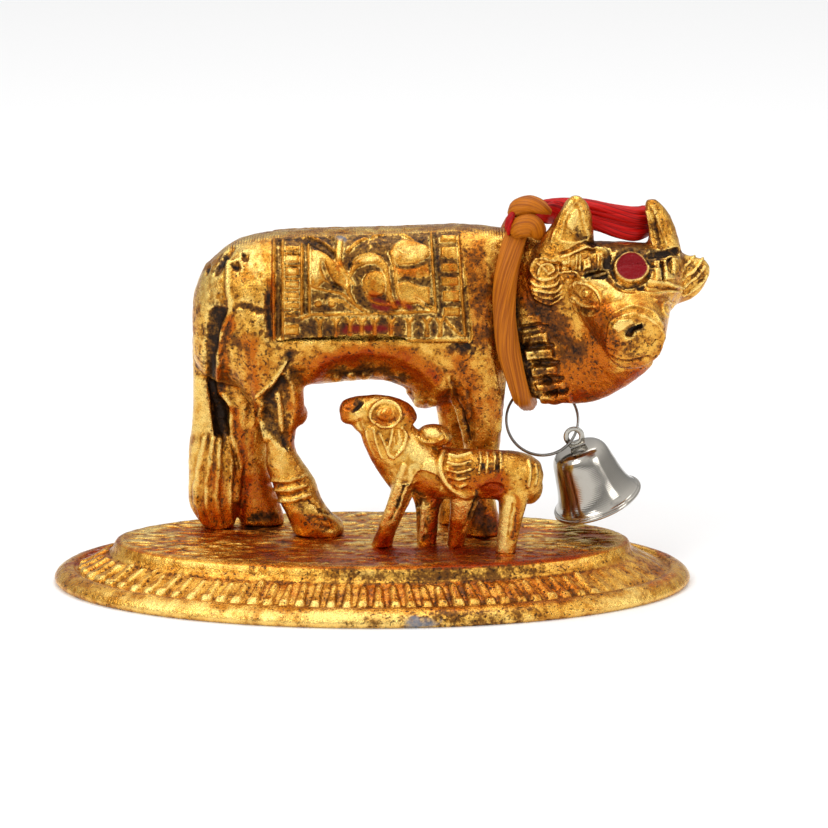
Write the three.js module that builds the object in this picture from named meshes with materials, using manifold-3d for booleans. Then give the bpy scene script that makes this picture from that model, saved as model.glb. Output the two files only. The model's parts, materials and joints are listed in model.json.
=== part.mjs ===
// A small temple figure: a decorated cow with its calf on an oval lotus base.
// Millimetres, +Z up. X runs towards the cow's head, the viewer stands at -Y.
// The origin is the middle of the base's underside.
import * as THREE from 'three';
import { mergeVertices } from 'three/addons/utils/BufferGeometryUtils.js';
import Module from 'manifold-3d';

const wasm = await Module();
wasm.setup();

// The oval base: half sizes of its outer edge, and its height.
const BASE_HALF_LENGTH = 63.5;
const BASE_HALF_DEPTH = 32.15;
const PLATE_TOP = 8.7;
const PLATE_INSET = 13.4;
const PETAL_COUNT = 88;
const PETAL_HEIGHT = 0.55;

// The cow's middle plane, and the calf's.
const COW_Y = 7.5;
const CALF_Y = -6.6;
// The feet end a hair above the plate.
const FOOT_Z = PLATE_TOP + 0.1;

const ALONG_X = new THREE.Vector3(1, 0, 0);
const ALONG_Y = new THREE.Vector3(0, 1, 0);
const DOWN = new THREE.Vector3(0, 0, -1);

// Closed bodies from rings of points

function closedBody(positions, triangles) {
  let volume = 0;
  const at = (index) => new THREE.Vector3().fromArray(positions, index * 3);
  for (let i = 0; i < triangles.length; i += 3) {
    volume += at(triangles[i]).dot(at(triangles[i + 1]).cross(at(triangles[i + 2])));
  }
  if (volume < 0) {
    triangles.reverse();
  }
  const geometry = new THREE.BufferGeometry();
  geometry.setAttribute('position', new THREE.Float32BufferAttribute(positions, 3));
  geometry.setIndex(triangles);
  return geometry;
}

// Rings of equal count become a skin: with flat ends, or joined end to end as a hoop.
function skin(rings, isHoop = false) {
  const count = rings[0].length;
  const positions = [];
  const triangles = [];
  rings.flat().forEach((point) => positions.push(point.x, point.y, point.z));
  const ringPairs = isHoop ? rings.length : rings.length - 1;
  for (let ring = 0; ring < ringPairs; ring += 1) {
    for (let side = 0; side < count; side += 1) {
      const nextSide = (side + 1) % count;
      const nextRing = (ring + 1) % rings.length;
      const corner = ring * count + side;
      const beside = ring * count + nextSide;
      const above = nextRing * count + side;
      const opposite = nextRing * count + nextSide;
      triangles.push(corner, beside, opposite, corner, opposite, above);
    }
  }
  if (!isHoop) {
    const last = (rings.length - 1) * count;
    for (let side = 1; side < count - 1; side += 1) {
      triangles.push(0, side + 1, side);
      triangles.push(last, last + side, last + side + 1);
    }
  }
  return closedBody(positions, triangles);
}

const signedPower = (value, power) => Math.sign(value) * Math.abs(value) ** power;

// A superellipse ring round a centre: half sizes a along up and b along across.
function sectionRing(centre, up, across, a, b, sides, roundness) {
  const ring = [];
  for (let side = 0; side < sides; side += 1) {
    const angle = (side / sides) * 2 * Math.PI;
    const rise = a * signedPower(Math.cos(angle), 2 / roundness);
    const reach = b * signedPower(Math.sin(angle), 2 / roundness);
    ring.push(centre.clone().addScaledVector(up, rise).addScaledVector(across, reach));
  }
  return ring;
}

// A limb: rows of x, y, z, half height, half width, swept with oval sections that
// stand square to the path, or all face one way where facing is given.
function limb(rows, options = {}) {
  const { sides = 8, roundness = 2, across = ALONG_Y, grow = 0, facing = null } = options;
  const centres = rows.map((row) => new THREE.Vector3(row[0], row[1], row[2]));
  const rings = rows.map((row, i) => {
    const next = centres[Math.min(i + 1, centres.length - 1)];
    const before = centres[Math.max(i - 1, 0)];
    const along = facing ?? next.clone().sub(before).normalize();
    const up = along.clone().cross(across).normalize();
    const side = up.clone().cross(along).normalize();
    return sectionRing(centres[i], up, side, row[3] + grow, row[4] + grow, sides, roundness);
  });
  return skin(rings);
}

// A bar of one thickness through points, with four sloping sides.
function bar(points, halfSizes, options = {}) {
  const rows = points.map((point) => [...point, ...halfSizes]);
  return limb(rows, { sides: 4, ...options });
}

function lump(centre, radii, turn = [0, 0, 0], columns = 8, rows = 5) {
  const geometry = new THREE.SphereGeometry(1, columns, rows);
  geometry.scale(...radii);
  const euler = new THREE.Euler(...turn.map(THREE.MathUtils.degToRad));
  geometry.applyMatrix4(new THREE.Matrix4().makeRotationFromEuler(euler));
  geometry.translate(...centre);
  return geometry;
}

// Outlines drawn in X and Z, carried along Y between two distances from the cow's middle.
function throughCut(shapes, from, to) {
  const depth = to - from;
  const geometry = new THREE.ExtrudeGeometry(shapes, { depth, bevelEnabled: false, curveSegments: 2 });
  geometry.rotateX(Math.PI / 2);
  geometry.translate(0, COW_Y + to, 0);
  return geometry;
}

function outline(points) {
  return new THREE.Shape(points.map((point) => new THREE.Vector2(...point)));
}

function rectangle(left, right, bottom, top) {
  return outline([[left, bottom], [right, bottom], [right, top], [left, top]]);
}

// Joining and cutting

function solidOf(geometry) {
  const bare = geometry.clone();
  bare.deleteAttribute('normal');
  bare.deleteAttribute('uv');
  const merged = mergeVertices(bare, 1e-4);
  return new wasm.Manifold(new wasm.Mesh({
    numProp: 3,
    vertProperties: new Float32Array(merged.attributes.position.array),
    triVerts: new Uint32Array(merged.index.array),
  }));
}

function joined(geometries) {
  return geometries.map(solidOf).reduce((whole, piece) => whole.add(piece));
}

function geometryOf(solid) {
  const mesh = solid.getMesh();
  const geometry = new THREE.BufferGeometry();
  const positions = [];
  for (let i = 0; i < mesh.vertProperties.length; i += mesh.numProp) {
    positions.push(...mesh.vertProperties.subarray(i, i + 3));
  }
  geometry.setAttribute('position', new THREE.Float32BufferAttribute(positions, 3));
  geometry.setIndex([...mesh.triVerts]);
  return geometry;
}

// The distance of the nearest surface, looking along +Y at a point x, z.
function probe(solid) {
  const mesh = new THREE.Mesh(geometryOf(solid), new THREE.MeshBasicMaterial({ side: THREE.DoubleSide }));
  const viewerY = -60;
  return (x, z) => {
    const ray = new THREE.Raycaster(new THREE.Vector3(x, viewerY, z), ALONG_Y);
    const hits = ray.intersectObject(mesh);
    return hits.length ? hits[0].point.y : COW_Y;
  };
}

// Points x, z laid on a probed surface, sunk by a depth.
function laidOn(surface, points, sink = 0) {
  return points.map(([x, z]) => [x, surface(x, z) + sink, z]);
}

// The oval base with its rounded lip, petal band and flat plate

// Inset from the outer edge and height, from the underside up to the plate.
const BASE_PROFILE = [
  [0.8, 0], [0, 0.9], [0.8, 2.3], [2.6, 3.3], [4.3, 2.8],
  [11.3, 5.9], [12.0, 8.0], [PLATE_INSET, PLATE_TOP],
];
// The row of the profile that the petals stand on.
const PETAL_BAND_ROW = 4;

function ovalPoint(angle, inset, z) {
  const x = (BASE_HALF_LENGTH - inset) * Math.cos(angle);
  const y = (BASE_HALF_DEPTH - inset) * Math.sin(angle);
  return new THREE.Vector3(x, y, z);
}

// Angles that share an oval's length in equal steps.
function evenAngles(count, inset) {
  const samples = 2000;
  const lengths = [0];
  for (let i = 1; i <= samples; i += 1) {
    const here = ovalPoint((i / samples) * 2 * Math.PI, inset, 0);
    const before = ovalPoint(((i - 1) / samples) * 2 * Math.PI, inset, 0);
    lengths.push(lengths[i - 1] + here.distanceTo(before));
  }
  const angles = [];
  let sample = 0;
  for (let i = 0; i < count; i += 1) {
    const wanted = (i / count) * lengths[samples];
    while (lengths[sample] < wanted) {
      sample += 1;
    }
    angles.push((sample / samples) * 2 * Math.PI);
  }
  return angles;
}

// The corners of one petal's raised face within its cell of the band: a tongue,
// narrow at the plate's wall and rounded towards the lip. Each row is the share
// of the cell's width, the share of its slope, and how far the face is raised.
const PETAL_FACE = [
  [0.24, 0.06, 0.35], [0.76, 0.06, 0.35], [0.86, 0.8, 1], [0.62, 0.96, 0.8], [0.38, 0.96, 0.8], [0.14, 0.8, 1],
];

function baseGeometry() {
  const angles = evenAngles(PETAL_COUNT, PLATE_INSET / 2);
  const positions = [];
  const triangles = [];
  BASE_PROFILE.forEach(([inset, z]) => {
    angles.forEach((angle) => positions.push(...ovalPoint(angle, inset, z)));
  });
  const vertex = (row, column) => row * PETAL_COUNT + (column % PETAL_COUNT);
  for (let row = 0; row < BASE_PROFILE.length - 1; row += 1) {
    for (let column = 0; column < PETAL_COUNT; column += 1) {
      const outer = [vertex(row, column), vertex(row, column + 1)];
      const inner = [vertex(row + 1, column), vertex(row + 1, column + 1)];
      if (row === PETAL_BAND_ROW) {
        addPetal(positions, triangles, outer, inner);
      } else {
        triangles.push(outer[0], outer[1], inner[1], outer[0], inner[1], inner[0]);
      }
    }
  }
  const lastRow = BASE_PROFILE.length - 1;
  for (let column = 1; column < PETAL_COUNT - 1; column += 1) {
    triangles.push(vertex(0, 0), vertex(0, column + 1), vertex(0, column));
    triangles.push(vertex(lastRow, 0), vertex(lastRow, column), vertex(lastRow, column + 1));
  }
  return closedBody(positions, triangles);
}

// One cell of the sloped band becomes a petal with bevelled sides.
function addPetal(positions, triangles, outer, inner) {
  const at = (index) => new THREE.Vector3().fromArray(positions, index * 3);
  const first = positions.length / 3;
  const lift = at(outer[1]).sub(at(outer[0])).cross(at(inner[0]).sub(at(outer[0]))).normalize();
  PETAL_FACE.forEach(([across, down, raise]) => {
    const upper = at(inner[0]).lerp(at(inner[1]), across);
    const lower = at(outer[0]).lerp(at(outer[1]), across);
    positions.push(...upper.lerp(lower, down).addScaledVector(lift, PETAL_HEIGHT * raise));
  });
  for (let corner = 1; corner < PETAL_FACE.length - 1; corner += 1) {
    triangles.push(first, first + corner + 1, first + corner);
  }
  const [topLeft, topRight, right, tipRight, tipLeft, left] = PETAL_FACE.map((face, i) => first + i);
  triangles.push(inner[1], inner[0], topLeft, inner[1], topLeft, topRight);
  triangles.push(outer[1], inner[1], topRight, outer[1], topRight, right);
  triangles.push(outer[1], right, tipRight, outer[0], outer[1], tipRight);
  triangles.push(outer[0], tipRight, tipLeft, outer[0], tipLeft, left);
  triangles.push(inner[0], outer[0], left, inner[0], left, topLeft);
}

// The cow's trunk: rows of x, underside, top of the back, half width.
const TRUNK = [
  [-35.4, 44, 57, 4.6], [-33.6, 41, 61.6, 6.8], [-30.4, 39.5, 65.2, 8.8], [-26.5, 38.6, 67.8, 10.2],
  [-21, 38.2, 69.3, 10.8], [-12, 39, 69.9, 11.1], [2, 39.9, 70.2, 11],
  [10, 36.4, 70.6, 10.6], [16, 35, 70.9, 10.2], [21, 37, 70.8, 9.4], [24.5, 40, 70.4, 8.4],
  [28, 42, 70, 7.4], [33, 42.6, 69.4, 6.6],
];
const TRUNK_ROUNDNESS = 2.5;

function trunk(grow = 0) {
  const rows = TRUNK.map(([x, low, high, halfWidth]) => [x, COW_Y, (low + high) / 2, (high - low) / 2, halfWidth]);
  return limb(rows, { sides: 14, roundness: TRUNK_ROUNDNESS, grow, facing: ALONG_X });
}

// Legs: rows of x, y, z, half length along X, half width along Y, from the top down.
const HIND_NEAR_LEG = [
  [-19.5, 5, 60, 6, 7.6], [-20.6, 4.2, 52, 8.4, 8.4], [-20.8, 3.6, 44, 7.8, 7.3], [-19.6, 3.2, 38, 6, 5.6],
  [-18.2, 3.0, 34, 4.6, 4.4], [-18.5, 3.0, 30, 3.3, 3.5], [-18.2, 3.0, 26.5, 2.9, 3.1],
  [-17.5, 3.0, 23.5, 3.8, 3.3], [-15.8, 3.0, 20, 4.4, 3.4], [-14.7, 3.0, 16.5, 4.4, 3.4],
  [-12.9, 3.0, 13.4, 4.5, 3.8], [-11.2, 3.0, 11, 5.3, 4], [-10.6, 3.0, FOOT_Z, 5.1, 3.6],
];
const HIND_FAR_LEG = [
  [-23, 10.5, 52, 8, 7.6], [-24.5, 11.2, 42, 7.6, 6.6], [-25.8, 11.2, 34, 6.4, 5], [-26.2, 11, 27, 5.4, 4],
  [-25.4, 10.8, 21.5, 4.6, 3.4], [-24, 10.8, 17, 3.6, 3.2], [-22.8, 10.8, 12, 4.4, 3.6],
  [-22.4, 10.8, FOOT_Z, 4.6, 3.6],
];
const FORE_NEAR_LEG = [
  [19.6, 4.6, 54, 6.4, 6.6], [20.2, 4.0, 46, 6.6, 6], [20.8, 3.8, 40, 5.8, 5], [21.4, 3.8, 34, 4.7, 4.2],
  [21.8, 3.8, 28, 3.8, 3.6], [21.6, 3.8, 22, 3.3, 3.3], [21.2, 3.8, 17, 3.3, 3.3], [21.4, 3.8, 12.5, 3.9, 3.7],
  [21.9, 3.6, FOOT_Z, 4.5, 3.8],
];
const FORE_FAR_LEG = [
  [16, 10, 52, 6, 6], [16, 11, 42, 5, 5], [16.4, 11.4, 34, 3.8, 4], [17, 11.4, 26, 3.3, 3.4],
  [16.6, 11.4, 19, 3.1, 3.2], [16.8, 11.4, 13, 3.6, 3.5], [17.2, 11.4, FOOT_Z, 4.2, 3.6],
];
const TAIL = [
  [-31.2, 8.2, 63, 1.8, 2], [-33.4, 8.2, 56.5, 2, 2.6], [-33.8, 8.2, 48, 2, 2.8], [-33.6, 8.2, 38, 2.2, 2.8],
  [-33.2, 8.2, 31, 2.9, 3], [-32.6, 8.2, 25, 4.2, 3.5], [-31.9, 8.2, 19, 5.1, 3.8],
  [-31.8, 8.2, 13, 4.9, 3.8], [-30.9, 8.2, FOOT_Z, 3, 3.2],
];
const TAIL_STRANDS = 3;
const TAIL_STRAND = [0.8, 0.8];
const ANKLET_HEIGHTS = [20.6, 18.4, 16.4];

function legs() {
  const shape = { sides: 8, roundness: 2.2, facing: DOWN };
  return [HIND_NEAR_LEG, HIND_FAR_LEG, FORE_NEAR_LEG, FORE_FAR_LEG].map((rows) => limb(rows, shape));
}

// Raised bands round the near hind ankle, lower towards the front.
function anklets() {
  return ANKLET_HEIGHTS.map((z) => {
    const middle = -15.9 + (ANKLET_HEIGHTS[0] - z) * 0.3;
    const rows = [[middle, 3.0, z + 0.55, 5, 4.1], [middle + 0.2, 3.0, z - 0.55, 5, 4.1]];
    return limb(rows, { facing: DOWN });
  });
}

// The tail, its long tuft ridged into locks of hair.
function tail() {
  const pieces = [limb(TAIL, { facing: DOWN })];
  for (let strand = 0; strand < TAIL_STRANDS; strand += 1) {
    const share = (strand + 0.5) / TAIL_STRANDS - 0.5;
    const points = [
      [-32.9 + share * 4.5, 5.9, 30], [-32.4 + share * 8, 5.0, 23], [-31.9 + share * 8.6, 4.8, 16],
      [-31.2 + share * 6, 5.4, FOOT_Z + 1],
    ];
    pieces.push(bar(points, TAIL_STRAND, { facing: DOWN }));
  }
  return pieces;
}

// Forms along the belly and the back: a flat spine ridge, the chest lobe, the loin fold.
function trunkForms() {
  const spine = [[-26, 66.8], [-21, 68.4], [-12, 69.2], [2, 69.6], [14, 69.9], [23, 69.8]];
  return [
    limb(spine.map(([x, z]) => [x, COW_Y, z, 0.9, 2.4]), { sides: 6, facing: ALONG_X }),
    lump([10.8, 7, 36.5], [3.2, 4.6, 2.6], [0, -20, 0]),
    lump([-15, 4, 33.4], [2.2, 3.6, 2.2]),
    lump([12.5, 7, 39], [6, 7, 4.6], [0, -20, 0]),
  ];
}

// The saddle cloth's plan on the flank, in X and Z
const CLOTH = { left: -19.4, right: 18.9, bottom: 50.2, top: 69.2 };
const CLOTH_RAISE = 0.45;
const RELIEF_RAISE = 1.0;
// How far to either side of the cow's middle the saddle's outlines are carried.
const FLANK_REACH = 16;
const FIELD = { left: -12.5, right: 11.8, bottom: 55.8, top: 69 };
const RAIL = 0.9;

function ladder(count, fromZ, pitch, height, left, right) {
  const cells = [];
  for (let i = 0; i < count; i += 1) {
    const low = fromZ + i * pitch;
    cells.push(rectangle(left, right, low, low + height));
  }
  return cells;
}

function borderRow(count, fromX, pitch, width, low, high) {
  const cells = [];
  for (let i = 0; i < count; i += 1) {
    const left = fromX + i * pitch;
    cells.push(rectangle(left, left + width, low, high));
  }
  return cells;
}

// A leaf from its stem end to its tip, with a belly on either side.
function leaf(fromX, fromZ, toX, toZ, bellyLeft, bellyRight) {
  const shape = new THREE.Shape();
  const middleX = (fromX + toX) / 2;
  const middleZ = (fromZ + toZ) / 2;
  const length = Math.hypot(toX - fromX, toZ - fromZ);
  const sideX = -(toZ - fromZ) / length;
  const sideZ = (toX - fromX) / length;
  shape.moveTo(fromX, fromZ);
  shape.quadraticCurveTo(middleX + sideX * bellyLeft, middleZ + sideZ * bellyLeft, toX, toZ);
  shape.quadraticCurveTo(middleX - sideX * bellyRight, middleZ - sideZ * bellyRight, fromX, fromZ);
  return shape;
}

// A round band between two angles in degrees, about the flower's boss.
const BOSS = { x: 0.6, z: 61.0, radius: 2.5 };
function curl(innerRadius, outerRadius, fromDegrees, toDegrees) {
  const steps = 5;
  const outer = [];
  const inner = [];
  for (let i = 0; i <= steps; i += 1) {
    const angle = THREE.MathUtils.degToRad(fromDegrees + ((toDegrees - fromDegrees) * i) / steps);
    outer.push([BOSS.x + outerRadius * Math.cos(angle), BOSS.z + outerRadius * Math.sin(angle)]);
    inner.unshift([BOSS.x + innerRadius * Math.cos(angle), BOSS.z + innerRadius * Math.sin(angle)]);
  }
  return outline([...outer, ...inner]);
}

function disc(x, z, radius, segments = 8) {
  const points = [];
  for (let i = 0; i < segments; i += 1) {
    const angle = (i / segments) * 2 * Math.PI;
    points.push([x + radius * Math.cos(angle), z + radius * Math.sin(angle)]);
  }
  return outline(points);
}

// The cloth with its rails on both flanks, and on the near one its side frames, its
// ladders and the curled flower with its leaves.
function saddle() {
  const rails = [
    rectangle(CLOTH.left, CLOTH.left + RAIL, CLOTH.bottom + RAIL + 0.1, CLOTH.top),
    rectangle(CLOTH.left, CLOTH.right, CLOTH.bottom, CLOTH.bottom + RAIL),
    rectangle(FIELD.left - 1.2, FIELD.right + 1.0, FIELD.bottom - RAIL, FIELD.bottom),
  ];
  const frame = [
    rectangle(FIELD.left - 1.2, FIELD.left - 0.2, FIELD.bottom + 0.2, FIELD.top),
    rectangle(FIELD.right + 0.1, FIELD.right + 1.0, FIELD.bottom + 0.2, FIELD.top),
  ];
  const flower = [
    ...ladder(5, 54.8, 2.7, 1.7, -17.7, -14.3),
    ...ladder(4, 56.2, 3.1, 2, 13.6, 17.2),
    ...borderRow(8, -13.6, 3.8, 1.4, CLOTH.bottom + RAIL + 0.1, FIELD.bottom - RAIL - 0.1),
    disc(BOSS.x, BOSS.z, BOSS.radius),
    curl(4.2, 5.9, -60, 190),
    leaf(6.0, 66.4, 11.4, 67.6, 1.0, 1.6),
    leaf(6.9, 63.0, 11.4, 64.6, 1.3, 1.2),
    leaf(6.9, 57.4, 11.4, 59.4, 3.0, 1.2),
    leaf(-6.0, 59.4, -11.8, 66.6, 0.6, 2.8),
    leaf(-6.2, 60.6, -7.2, 68.2, 0.4, 1.4),
    leaf(-2.4, 56.4, -10.8, 60.2, 1.6, 0.2),
    disc(-9.6, 57.4, 0.8, 4),
  ];
  const whole = rectangle(CLOTH.left, CLOTH.right, CLOTH.bottom, CLOTH.top);
  const ground = solidOf(throughCut(whole, -FLANK_REACH, FLANK_REACH));
  const cloth = ground.intersect(solidOf(trunk(CLOTH_RAISE)));
  const edging = solidOf(throughCut(rails, -FLANK_REACH, FLANK_REACH));
  const figures = edging.add(solidOf(throughCut([...frame, ...flower], -FLANK_REACH, 0)));
  return cloth.add(figures.intersect(solidOf(trunk(RELIEF_RAISE))));
}

// Neck, throat and head, turned towards the viewer
const NECK = [
  [27, 7, 56.2, 13.2, 7.0], [31, 6, 56.4, 13.2, 7.2], [35, 4.4, 57, 12.6, 7.4], [39, 3.0, 57, 12, 8.0],
  [44, 2.0, 57.2, 11.6, 8.4], [49, 1.4, 57.8, 11, 8.2], [54, 1.2, 59.6, 8.9, 7.4], [58.6, 1.6, 61.6, 6.6, 5.6],
  [61, 2.2, 62, 4.6, 3.4],
];
const DEWLAP = [
  [31, 0.8, 48.5, 5.4, 2.4], [33.4, 0.4, 46, 8.2, 2.9], [37, -0.2, 44.6, 7.9, 3.4], [41, -1.4, 45, 8.2, 3.8],
  [45, -2.8, 47.2, 8.2, 4.2], [49, -4.6, 49.6, 7.4, 4.4], [52, -6.4, 51.4, 6.2, 4],
];
const SNOUT = [
  [49.0, -3, 61, 7.6, 10.6], [49.8, -6.4, 57.4, 7.4, 9], [50.6, -10, 54.2, 6.8, 7.2], [51.0, -12.6, 52.6, 6.2, 6.2],
];
const RIGHT_EAR = [
  [58, 2, 61.8, 6, 3], [61.6, 3, 61.8, 5.2, 2.2], [64.6, 3.6, 63, 3, 1.6], [66.2, 3.8, 64, 1.2, 0.8],
];
const MUZZLE = { x: 51.2, y: -13.4, z: 52.2, radius: 5.7, thickness: 1.5, crown: 0.9 };
const LEFT_HORN = [
  [37.8, 0, 66, 6.2, 4.6], [38.6, -0.2, 69, 5.2, 3.8], [39.4, -0.4, 72, 4.2, 3.0],
  [39.9, -0.5, 75, 3.2, 2.4], [40.0, -0.6, 77.4, 2.1, 1.6], [40.1, -0.6, 78.7, 0.9, 0.8],
];
const RIGHT_HORN = [
  [57.6, 2.6, 66, 3.4, 3.8], [57.3, 2.6, 69, 3.0, 3.2], [56.8, 2.6, 72, 2.5, 2.7],
  [55.6, 2.6, 74.6, 2.1, 2.1], [54.8, 2.6, 76.4, 1.4, 1.3], [54.5, 2.6, 77.3, 0.6, 0.6],
];
// The way the face looks: towards the viewer, a little to the right and down.
const HEAD_TURN = 0.2;
const FACE_FORWARD = new THREE.Vector3(0.22, -0.95, -0.2).normalize();
const RED_DISC = { x: 50, z: 66.2, radius: 3.3, thickness: 1.6, tilt: 100 };

function head() {
  const across = new THREE.Vector3(Math.cos(HEAD_TURN), Math.sin(HEAD_TURN), 0);
  const crowned = [[0, MUZZLE.crown], [0.6, MUZZLE.crown * 0.75], [1, 0], [1.05, -MUZZLE.thickness], [0, -MUZZLE.thickness]];
  const profile = crowned.reverse().map(([share, rise]) => new THREE.Vector2(share * MUZZLE.radius, rise));
  const muzzle = new THREE.LatheGeometry(profile, 14);
  const facing = new THREE.Quaternion().setFromUnitVectors(ALONG_Y, FACE_FORWARD);
  muzzle.applyQuaternion(facing);
  muzzle.translate(MUZZLE.x, MUZZLE.y, MUZZLE.z);
  return [
    limb(NECK, { sides: 14, roundness: 2.3, facing: ALONG_X }),
    limb(DEWLAP, { sides: 10 }),
    limb(SNOUT, { sides: 12, across }),
    muzzle,
    limb(LEFT_HORN),
    limb(RIGHT_HORN, { sides: 6 }),
    lump([34, 0.2, 61.6], [3.6, 4.6, 6.2]),
    limb(RIGHT_EAR, { sides: 6 }),
  ];
}

// Half height and half width of the small bars laid on the castings.
const COLLAR_BAR = [0.65, 0.75];
const FOLD = [0.4, 0.5];
const LID = [0.35, 0.45];
const CELL = [0.6, 0.6];
const STRAP = [0.5, 0.5];
// How deep such a bar's middle lies below the surface it is laid on.
const SUNK = 0.1;

// Bars, cells, lids and folds laid on the face, throat and ears.
function headCarving(surface) {
  const collar = [[29.9, 33.6, 52.6], [30.4, 34.2, 49.5], [31.0, 35.6, 46.4], [32.4, 37.0, 43.6], [33.0, 38.4, 40.9]];
  const bars = collar.map(([from, to, z]) => bar(laidOn(surface, [[from, z + 0.2], [to, z - 0.2]], 2 * SUNK), COLLAR_BAR));
  const fans = [0, 1, 2].map((fold) => {
    const z = 63 - fold * 2;
    return bar(laidOn(surface, [[31.6, z + 0.5], [34, z - 0.6], [36.4, z]], SUNK), FOLD);
  });
  const leftEye = [[39.2, 62.4], [42.4, 61], [44, 57.6], [40.6, 58.8], [39, 61.6]];
  const rightEye = [[52.8, 60.4], [55.8, 61.8], [58.6, 61.2], [55.6, 59.8]];
  const brow = [[37, 67.4], [40.6, 68.0], [46, 66.6]];
  const cells = [[39.4, 65.6], [42, 65.8], [44.6, 65.2], [56.4, 65.2]];
  return [
    ...bars,
    ...fans,
    bar(laidOn(surface, leftEye, SUNK), LID),
    bar(laidOn(surface, rightEye, SUNK), LID),
    bar(laidOn(surface, brow, SUNK), FOLD),
    ...cells.map(([x, z]) => bar(laidOn(surface, [[x, z + 1.2], [x, z - 1.2]], SUNK), CELL)),
  ];
}

// The painted mark on the forehead, with its raised rim.
function foreheadDisc(surface) {
  const y = surface(RED_DISC.x, RED_DISC.z);
  const geometry = new THREE.CylinderGeometry(RED_DISC.radius, RED_DISC.radius + 0.2, RED_DISC.thickness, 10);
  geometry.rotateX(THREE.MathUtils.degToRad(RED_DISC.tilt));
  geometry.rotateZ(HEAD_TURN);
  geometry.translate(RED_DISC.x, y + 0.1, RED_DISC.z);
  return geometry;
}

// The cow before its small carving, which the threads lie on.
const plainCow = joined([trunk(), ...legs(), ...tail(), ...trunkForms(), ...head()]);

function cowGeometry() {
  const surface = probe(plainCow);
  const carved = joined([...headCarving(surface), foreheadDisc(surface), ...anklets()]);
  const nostril = lump([51, surface(51, 55.2) - 0.2, 55.2], [1.7, 0.9, 0.8], [0, -25, 0]);
  return geometryOf(plainCow.add(saddle()).add(carved).subtract(solidOf(nostril)));
}

// The calf, head raised to its mother
const CALF_TRUNK = [
  [7.5, CALF_Y, 24.4, 3.4, 2.6], [9.5, CALF_Y, 24.4, 5, 3.8], [13, CALF_Y, 24.2, 5.2, 4.4],
  [18, CALF_Y, 24, 4.9, 4.6], [24, CALF_Y, 23.8, 4.9, 4.6], [29, CALF_Y, 23.2, 5, 4.2],
  [32, CALF_Y, 22, 4, 3], [33.4, CALF_Y, 21.6, 2.2, 1.8],
];
const CALF_NECK = [
  [9.6, CALF_Y, 23.6, 6.4, 4], [5.8, CALF_Y, 28, 5.8, 3.6], [3.2, CALF_Y, 31.8, 5.2, 3.4], [1.4, CALF_Y, 35, 4.4, 3.4],
];
const CALF_HEAD = [
  [7.6, CALF_Y, 33.6, 2.2, 2], [5.8, CALF_Y, 34.9, 3.6, 3.2], [2.4, CALF_Y, 36.2, 3.7, 3.4],
  [-1.2, CALF_Y, 36.8, 3.1, 2.8], [-3.6, CALF_Y, 36.7, 2.8, 2.5], [-5.4, CALF_Y, 36.4, 2.3, 2.1],
  [-6.2, CALF_Y, 36.3, 1.3, 1.2],
];
const CALF_LEGS = [
  [[6.8, -8.8, 23, 2.8, 2], [5.2, -7.8, 18, 2.1, 1.8], [2.9, -6, 12, 1.9, 1.7], [1.9, -5.2, FOOT_Z, 2.2, 1.8]],
  [[11.2, -5, 23, 4.6, 2], [11.4, -4.6, 19.5, 3.8, 2], [11, -4, 16, 2.4, 1.8], [10.9, -3.4, FOOT_Z, 2, 1.6]],
  [[18.6, -7.8, 22, 3.4, 2.4], [18.2, -7.2, 18, 2.7, 2], [17.2, -5.8, 13, 2, 1.7], [16.6, -5, FOOT_Z, 1.8, 1.7]],
  [[28, -8.2, 23, 3.8, 2.6], [27.8, -8.8, 18.6, 2.8, 2.2], [27, -9.2, 13, 2.2, 1.9], [26.4, -9.4, FOOT_Z, 2, 1.9]],
];

function ringRound(surface, x, z, radiusX, radiusZ, thickness) {
  const points = [];
  const steps = 8;
  for (let i = 0; i <= steps; i += 1) {
    const angle = (i / steps) * 2 * Math.PI;
    points.push([x + radiusX * Math.cos(angle), z + radiusZ * Math.sin(angle)]);
  }
  const laid = laidOn(surface, points.slice(0, -1), SUNK);
  const rings = laid.map((point, i) => {
    const angle = (i / steps) * 2 * Math.PI;
    const outward = new THREE.Vector3(Math.cos(angle), 0, Math.sin(angle));
    return sectionRing(new THREE.Vector3(...point), outward, ALONG_Y, thickness, thickness, 4, 2);
  });
  return skin(rings, true);
}

function calfGeometry() {
  const plain = joined([
    limb(CALF_TRUNK, { roundness: 2.2 }),
    limb(CALF_NECK),
    limb(CALF_HEAD),
    ...CALF_LEGS.map((rows) => limb(rows, { sides: 6, facing: DOWN })),
    lump([-0.4, CALF_Y, 33.8], [4.2, 2.6, 2.4], [0, 30, 0]),
    lump([12.4, CALF_Y - 0.4, 31.9], [3.5, 3.2, 2.2], [0, 8, 0]),
    lump([30.9, CALF_Y, 21.4], [2.9, 2.5, 3.7]),
  ]);
  const surface = probe(plain);
  const cloth = [0, 1, 2].map((fold) => {
    const z = 27.2 - fold * 2.1;
    const half = 2.8 - fold * 0.5;
    return bar(laidOn(surface, [[17.4 - half, z + 0.2], [17.4, z - 0.3], [17.4 + half, z + 0.2]], SUNK), FOLD);
  });
  const carved = joined([
    ringRound(surface, 2.6, 36.4, 2.9, 2.4, 0.5),
    lump([2.6, surface(2.6, 36.4) + 0.2, 36.4], [1.5, 0.8, 1.2]),
    ringRound(surface, 17.4, 24.6, 4.2, 4.0, 0.5),
    ...cloth,
    bar(laidOn(surface, [[3.2, 33.8], [5, 29.6]], SUNK), STRAP),
  ]);
  return geometryOf(plain.add(carved));
}

// The threads

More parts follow.
